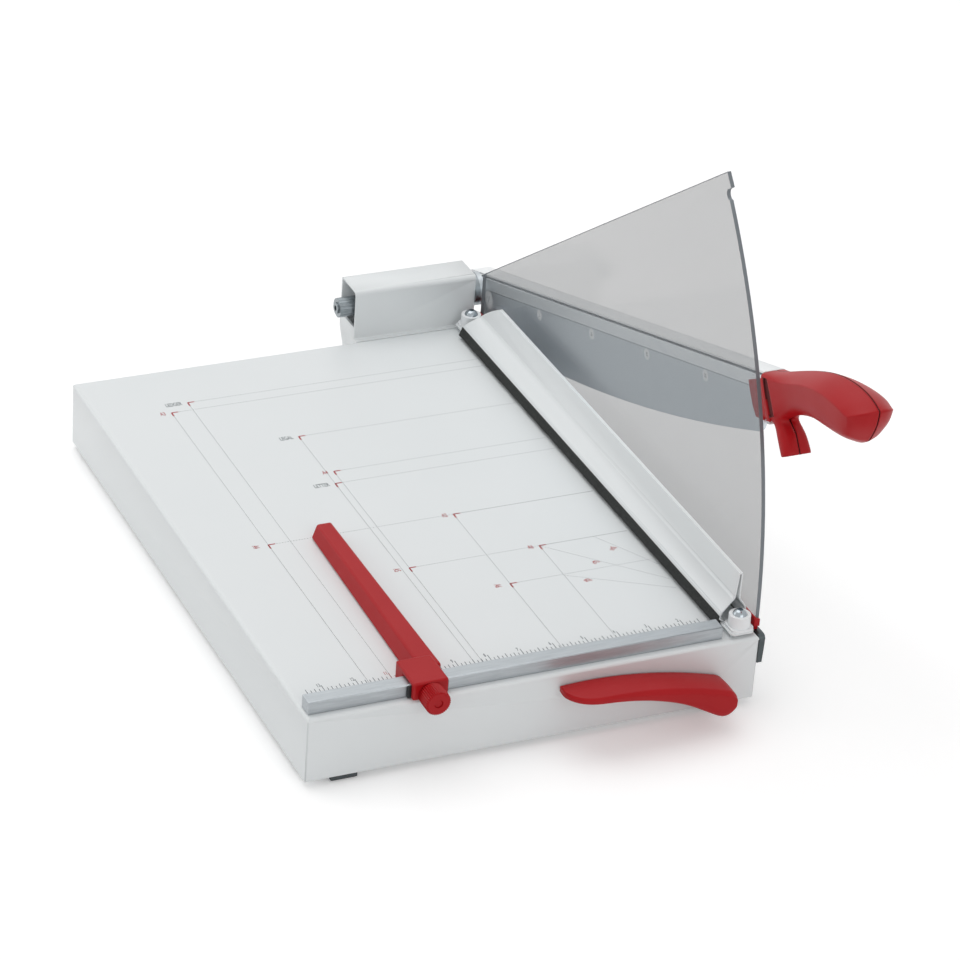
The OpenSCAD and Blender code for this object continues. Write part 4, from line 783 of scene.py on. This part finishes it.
def lever_heights(s):
    """Lower and upper edge of the lever, s along it from the hub."""
    if s < 0:
        tall = math.sqrt(HUB_RADIUS ** 2 - s ** 2)
        return -tall * HUB_LOW / HUB_RADIUS, tall
    middle = RISE * (1 - ((s - CREST) / CREST) ** 2)
    half = (TIP_THICK + (2 * HUB_RADIUS - TIP_THICK) * (1 - s / LEVER_LENGTH) ** TAPER) / 2
    if s < ROOT:
        low = -HUB_LOW + (lever_heights(ROOT)[0] + HUB_LOW) * s / ROOT
        return low, middle + half
    return middle - half, middle + half


def lever_section(s):
    low, high = lever_heights(s)
    bent = max(0.0, s - (LEVER_LENGTH - CORNER_RADIUS))
    front = LEVER_FRONT + CORNER_RADIUS - math.sqrt(CORNER_RADIUS ** 2 - bent ** 2)
    tall = high - low
    soft = min(SOFT, tall * SOFT_SHARE)
    crown = min(CROWN, tall * CROWN_SHARE)
    inner = min(front + soft, LEVER_BACK - BACK_LAND)
    middle = (inner + LEVER_BACK) / 2
    profile = ((LEVER_BACK, high - BACK_DROP), (middle, high + crown), (inner, high), (front, high - soft),
               (front, low + soft * LOW_SOFT), (inner, low), (middle, low), (LEVER_BACK, low + BACK_LIFT))
    return [place(LEVER_X - s, y, LEVER_Z + z) for y, z in profile]


lever_shape = bmesh.new()
lever_rows = [[lever_shape.verts.new(spot) for spot in lever_section(s)] for s in lever_stations]
lever_rings = bridged(lever_shape, lever_rows)
for ring in (lever_rings[0], lever_rings[-1]):
    bmesh.ops.edgeloop_fill(lever_shape, edges=ring)
for k, value in lever_creases.items():
    crease(lever_shape, [row[k] for row in lever_rows], value)
lever = make_piece("lever_moulding", lever_shape, red_abs, "lever", ["clamp_lever"])
subdivide(lever, ROUNDING)

# %% [markdown]
# ## The thumb knob
# The knob is turned by finger and thumb, so its rim is knurled. A circle with every second point drawn in a
# little is the knurl's section; it is extruded to the knob's length, and insets cut the front's bevel and
# dish.

# %% Thumb knob
RIBS = 36
RIB_DEPTH = 0.8
FRONT_BEVEL = 0.8
# width and rise of the front's bevel, flat ring and dish
front_steps = ((0.7, FRONT_BEVEL), (3.4, 0.0), (0.4, -0.9))
low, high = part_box("thumb_knob")
knob_radius = (high.x - low.x) / 2
knob_middle = (low + high) / 2
axis = Vector((knob_middle.x, high.y, knob_middle.z))
facing = Matrix.Rotation(math.radians(90), 4, "X")
knob_shape = bmesh.new()
bmesh.ops.create_circle(knob_shape, cap_ends=True, segments=2 * RIBS, radius=knob_radius,
                        matrix=Matrix.Translation(axis) @ facing)
for vert in list(knob_shape.verts)[::2]:
    vert.co = axis + (vert.co - axis) * (1 - RIB_DEPTH * MM / knob_radius)
knob_front = bmesh.ops.extrude_face_region(knob_shape, geom=knob_shape.faces[:])["geom"]
bmesh.ops.translate(knob_shape, vec=(0, low.y - high.y + FRONT_BEVEL * MM, 0),
                    verts=[v for v in knob_front if isinstance(v, bmesh.types.BMVert)])
front = [f for f in knob_front if isinstance(f, bmesh.types.BMFace)]
knob_shape.normal_update()
for width, rise in front_steps:
    bmesh.ops.inset_region(knob_shape, faces=front, thickness=width * MM, depth=rise * MM,
                           use_even_offset=True)
knob = make_piece("knurled_knob", knob_shape, red_abs, "knob", ["thumb_knob"])
keep_edges(knob, 28)

# %% [markdown]
# ## The backstop
# The backstop is a long bar of trapezoid section that thins out to the rear, on a block that straddles the
# ruler. Both are drawn as prisms: the bar from its front and rear sections, the block from a side view with
# the ruler's slot in it. A mould has no sharp inner corners, so every outer edge is rounded, the bar's most.

# %% Backstop
STOP_X, STOP_FOOT, STOP_END = -248.0, 0.5, 209.0
RULER_DEEP, RULER_HIGH, SLOT_ROOM = 12.0, 10.0, 0.6
BLOCK_SIDES = (-277.5, -250.7)
BLOCK_FRONT, BLOCK_REAR, BLOCK_TOP = -19.1, 14.0, 14.5
SHOE_ROOM = 2.6
FLAT_RIM = 0.25
BAR_RADIUS, BLOCK_RADIUS = 1.6, 1.5
# y, height, and width at the top and at the foot
bar_sections = ((1.0, 14.0, 15.5, 20.0), (STOP_END, 12.0, 11.6, 15.6))


def prism(shape, front, rear, radius):
    """Bridges two outlines, closes the ends and rounds all edges. A thin rim keeps flats flat."""
    rings = []
    for outline in (front, rear):
        verts = [shape.verts.new(place(*spot)) for spot in outline]
        rings.append([shape.edges.new((a, b)) for a, b in zip(verts, verts[1:] + verts[:1])])
    sides = bmesh.ops.bridge_loops(shape, edges=rings[0] + rings[1])["faces"]
    ends = [face for ring in rings for face in bmesh.ops.edgeloop_fill(shape, edges=ring)["faces"]]
    edges = list({edge for face in sides + ends for edge in face.edges})
    fresh = bmesh.ops.bevel(shape, geom=edges, offset=radius * MM, segments=3, profile=0.5, affect="EDGES",
                            material=-1, clamp_overlap=True)["faces"]
    flats = {face for vert in {v for f in fresh for v in f.verts} for face in vert.link_faces} - set(fresh)
    bmesh.ops.inset_individual(shape, faces=list(flats), thickness=FLAT_RIM * MM, use_even_offset=True)


stop_shape = bmesh.new()
bar_ends = [[(STOP_X, y, STOP_FOOT), (STOP_X, y, up), (STOP_X - top, y, up), (STOP_X - foot, y, STOP_FOOT)]
            for y, up, top, foot in bar_sections]
prism(stop_shape, *bar_ends, BAR_RADIUS)
slot_front, slot_top = -RULER_DEEP - SHOE_ROOM, RULER_HIGH + SLOT_ROOM
block_side = ((BLOCK_FRONT, STOP_FOOT), (BLOCK_FRONT, BLOCK_TOP), (BLOCK_REAR, BLOCK_TOP),
              (BLOCK_REAR, STOP_FOOT), (SLOT_ROOM, STOP_FOOT), (SLOT_ROOM, slot_top), (slot_front, slot_top),
              (slot_front, STOP_FOOT))
prism(stop_shape, *[[(x, y, z) for y, z in block_side] for x in BLOCK_SIDES], BLOCK_RADIUS)
backstop = make_piece("backstop_bar", stop_shape, red_abs, "backstop", ["backstop"])
keep_edges(backstop, 40)

# %% [markdown]
# ## The foam strip
# A strip of soft cellular rubber is glued along the clamp's left lip, so that paper isn't marked. It starts
# from a copy of the CAD solid: the copy is welded and cut across into short lengths, and its free corner gets
# the slight waviness of cut foam.

# %% Foam strip
FOAM_CUTS = 60
WAVE, FREE_CORNER = 0.18, 0.5
# radians a metre: two waves, about 16 and 36 mm long, so that the edge doesn't repeat
SHORT_WAVE, LONG_WAVE = 400, 173
foam_shape = welded_copy("clamp_foam")
foam_low, foam_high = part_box("clamp_foam")
for k in range(1, FOAM_CUTS):
    cut_y = foam_low.y + (foam_high.y - foam_low.y) * k / FOAM_CUTS
    bmesh.ops.bisect_plane(foam_shape, geom=foam_shape.verts[:] + foam_shape.edges[:] + foam_shape.faces[:],
                           plane_co=(0, cut_y, 0), plane_no=(0, 1, 0))
for vert in foam_shape.verts:
    if vert.co.x < foam_low.x + FREE_CORNER * MM:
        wave = math.sin(vert.co.y * SHORT_WAVE) * math.sin(vert.co.y * LONG_WAVE)
        vert.co.x += WAVE * MM * (1 + wave)
foam = make_piece("foam_strip", foam_shape, foam_rubber, "clamp", ["clamp_foam"])
keep_edges(foam, 30)

# %% [markdown]
# ## The return springs
# Under the table a spring round the tail of each post lifts the clamp when the lever is let go. It is wound
# from wire on a mandrel. A small circle of wire is spun round the post while every step also climbs, and the
# two ends are filled. A real spring shortens when the clamp is drawn down.

# %% Return springs
SPRING_WIRE, SPRING_TURNS = 1.2, 3
STEPS_A_TURN, WIRE_SIDES = 20, 8


def wound_wire(low, high):
    shape = bmesh.new()
    radius = SPRING_WIRE * MM / 2
    post = (low + high) / 2
    upright_wire = Matrix.Rotation(math.pi / 2, 4, "X")
    start = Matrix.Translation((high.x - radius, post.y, low.z + radius)) @ upright_wire
    bmesh.ops.create_circle(shape, segments=WIRE_SIDES, radius=radius, matrix=start)
    steps = SPRING_TURNS * STEPS_A_TURN
    climb = (high.z - low.z - 2 * radius) / steps
    bmesh.ops.spin(shape, geom=shape.verts[:] + shape.edges[:], cent=post, axis=(0, 0, 1), dvec=(0, 0, climb),
                   angle=math.tau * SPRING_TURNS, steps=steps)
    bmesh.ops.holes_fill(shape, edges=[edge for edge in shape.edges if edge.is_boundary])
    return shape


for end in ("front", "rear"):
    spring_low, spring_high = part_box("return_spring_" + end)
    spring = make_piece("coil_" + end, wound_wire(spring_low, spring_high), plain_steel, "base",
                        ["return_spring_" + end])
    keep_edges(spring, 60)
    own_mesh(spring)

# %% [markdown]
# ## Camera
# The camera stands where the photo's did. It could be turned by eye until the edges agree; here it was worked
# out from the printed paper corners, whose true sizes are known. A long lens keeps the table's edges nearly
# parallel. The picture is square, so the lens is worked out on a 36 mm square of film.

# %% Camera
camera_azimuth = math.radians(-25.721)
camera_elevation = math.radians(29.745)
camera_roll = math.radians(4.153)
camera_lens, film_width = 148.55, 36.0
farthest_seen = 50.0
camera_spot = place(-1248.3, -2115.9, 1501.4)

back = Vector((math.sin(camera_azimuth) * math.cos(camera_elevation),
               -math.cos(camera_azimuth) * math.cos(camera_elevation), math.sin(camera_elevation)))
turn = back.to_track_quat("Z", "Y").to_matrix().to_4x4() @ Matrix.Rotation(camera_roll, 4, "Z")
camera = bpy.data.objects.new("camera", bpy.data.cameras.new("camera"))
camera.data.lens = camera_lens
camera.data.sensor_width = film_width
camera.data.clip_end = farthest_seen
camera.matrix_world = Matrix.Translation(camera_spot) @ turn
bpy.context.scene.collection.objects.link(camera)
bpy.context.scene.camera = camera
print("camera at", [round(c, 3) for c in camera_spot])

# %% [markdown]
# ## Floor and light
# A white floor runs off into a white world. The floor is shaded as usual for what falls on it; where it is
# seen, a little glow lifts it to white, with the object's shadow left in. It is seen by the camera, in
# reflections and through the guard, so all three kinds of ray count. The world lights the object at a plain
# level and looks white only where it is seen.

# %% Floor and world
FLOOR_SIZE = 30.0
FLOOR_GLOW = 0.22
FLOOR_WHITE = (0.92, 0.92, 0.92, 1)
WHITE = (1, 1, 1, 1)
WORLD_LIGHT, WORLD_SEEN = 0.55, 1.0


def seen(tree):
    """One for rays from the camera, from mirrors and through a clear sheet."""
    path = add(tree, "ShaderNodeLightPath")
    kinds = ("Is Camera Ray", "Is Glossy Ray", "Is Transmission Ray")
    direct, mirrored, through = (path.outputs[kind] for kind in kinds)
    most = {"operation": "MAXIMUM"}
    either = add(tree, "ShaderNodeMath", most, {0: direct, 1: mirrored}).outputs[0]
    return add(tree, "ShaderNodeMath", most, {0: either, 1: through}).outputs[0]


def floor_paper():
    material, tree = new_material("white_floor_paper")
    glow = add(tree, "ShaderNodeMath", {"operation": "MULTIPLY"}, {0: seen(tree), 1: FLOOR_GLOW}).outputs[0]
    paper = add(tree, "ShaderNodeBsdfPrincipled", Roughness=0.9, Base_Color=FLOOR_WHITE,
                Emission_Strength=glow, Emission_Color=WHITE)
    add(tree, "ShaderNodeOutputMaterial", Surface=paper.outputs["BSDF"])
    return material


bpy.ops.mesh.primitive_plane_add(size=FLOOR_SIZE)
floor = bpy.context.object
floor.name = "floor"
floor.data.materials.append(floor_paper())

world = bpy.data.worlds.new("studio")
bpy.context.scene.world = world
world.use_nodes = True
sky = world.node_tree
sky.nodes.clear()
levels = [add(sky, "ShaderNodeBackground", Color=WHITE, Strength=level).outputs[0]
          for level in (WORLD_LIGHT, WORLD_SEEN)]
mixed = add(sky, "ShaderNodeMixShader", None, {0: seen(sky), 1: levels[0], 2: levels[1]}).outputs[0]
add(sky, "ShaderNodeOutputWorld", Surface=mixed)
print("world light:", WORLD_LIGHT)

# %% [markdown]
# ## Lamps
# Product pictures are lit by large soft boxes. A small or distant lamp would give hard shadows and hot spots
# on the paint, so three wide area lamps are used: the strongest from above and a little behind, a weak one
# from the left rear, and one from the front that fills the front face and the lever.

# %% Lamps


def soft_lamp(name, spot, target, size, power):
    lamp = bpy.data.lights.new(name, "AREA")
    lamp.shape = "RECTANGLE"
    lamp.size, lamp.size_y = size
    lamp.energy = power
    piece = bpy.data.objects.new(name, lamp)
    aim = (Vector(target) - Vector(spot)).to_track_quat("-Z", "Y").to_matrix().to_4x4()
    piece.matrix_world = Matrix.Translation(Vector(spot)) @ aim
    bpy.context.scene.collection.objects.link(piece)
    print(name, "power:", power)


soft_lamp("key_lamp", spot=(-0.3, 0.9, 2.6), target=(0.0, 0.1, 0.1), size=(2.6, 2.6), power=31.0)
soft_lamp("left_lamp", spot=(-1.5, 1.1, 0.8), target=(0.0, 0.1, 0.1), size=(1.2, 1.0), power=3.8)
soft_lamp("front_lamp", spot=(0.2, -2.8, 1.2), target=(0.0, 0.0, 0.1), size=(2.0, 1.4), power=11.5)

# %% [markdown]
# ## Finish
# Pictures use the plain Standard view.

# %% Finish
bpy.context.scene.view_settings.view_transform = "Standard"
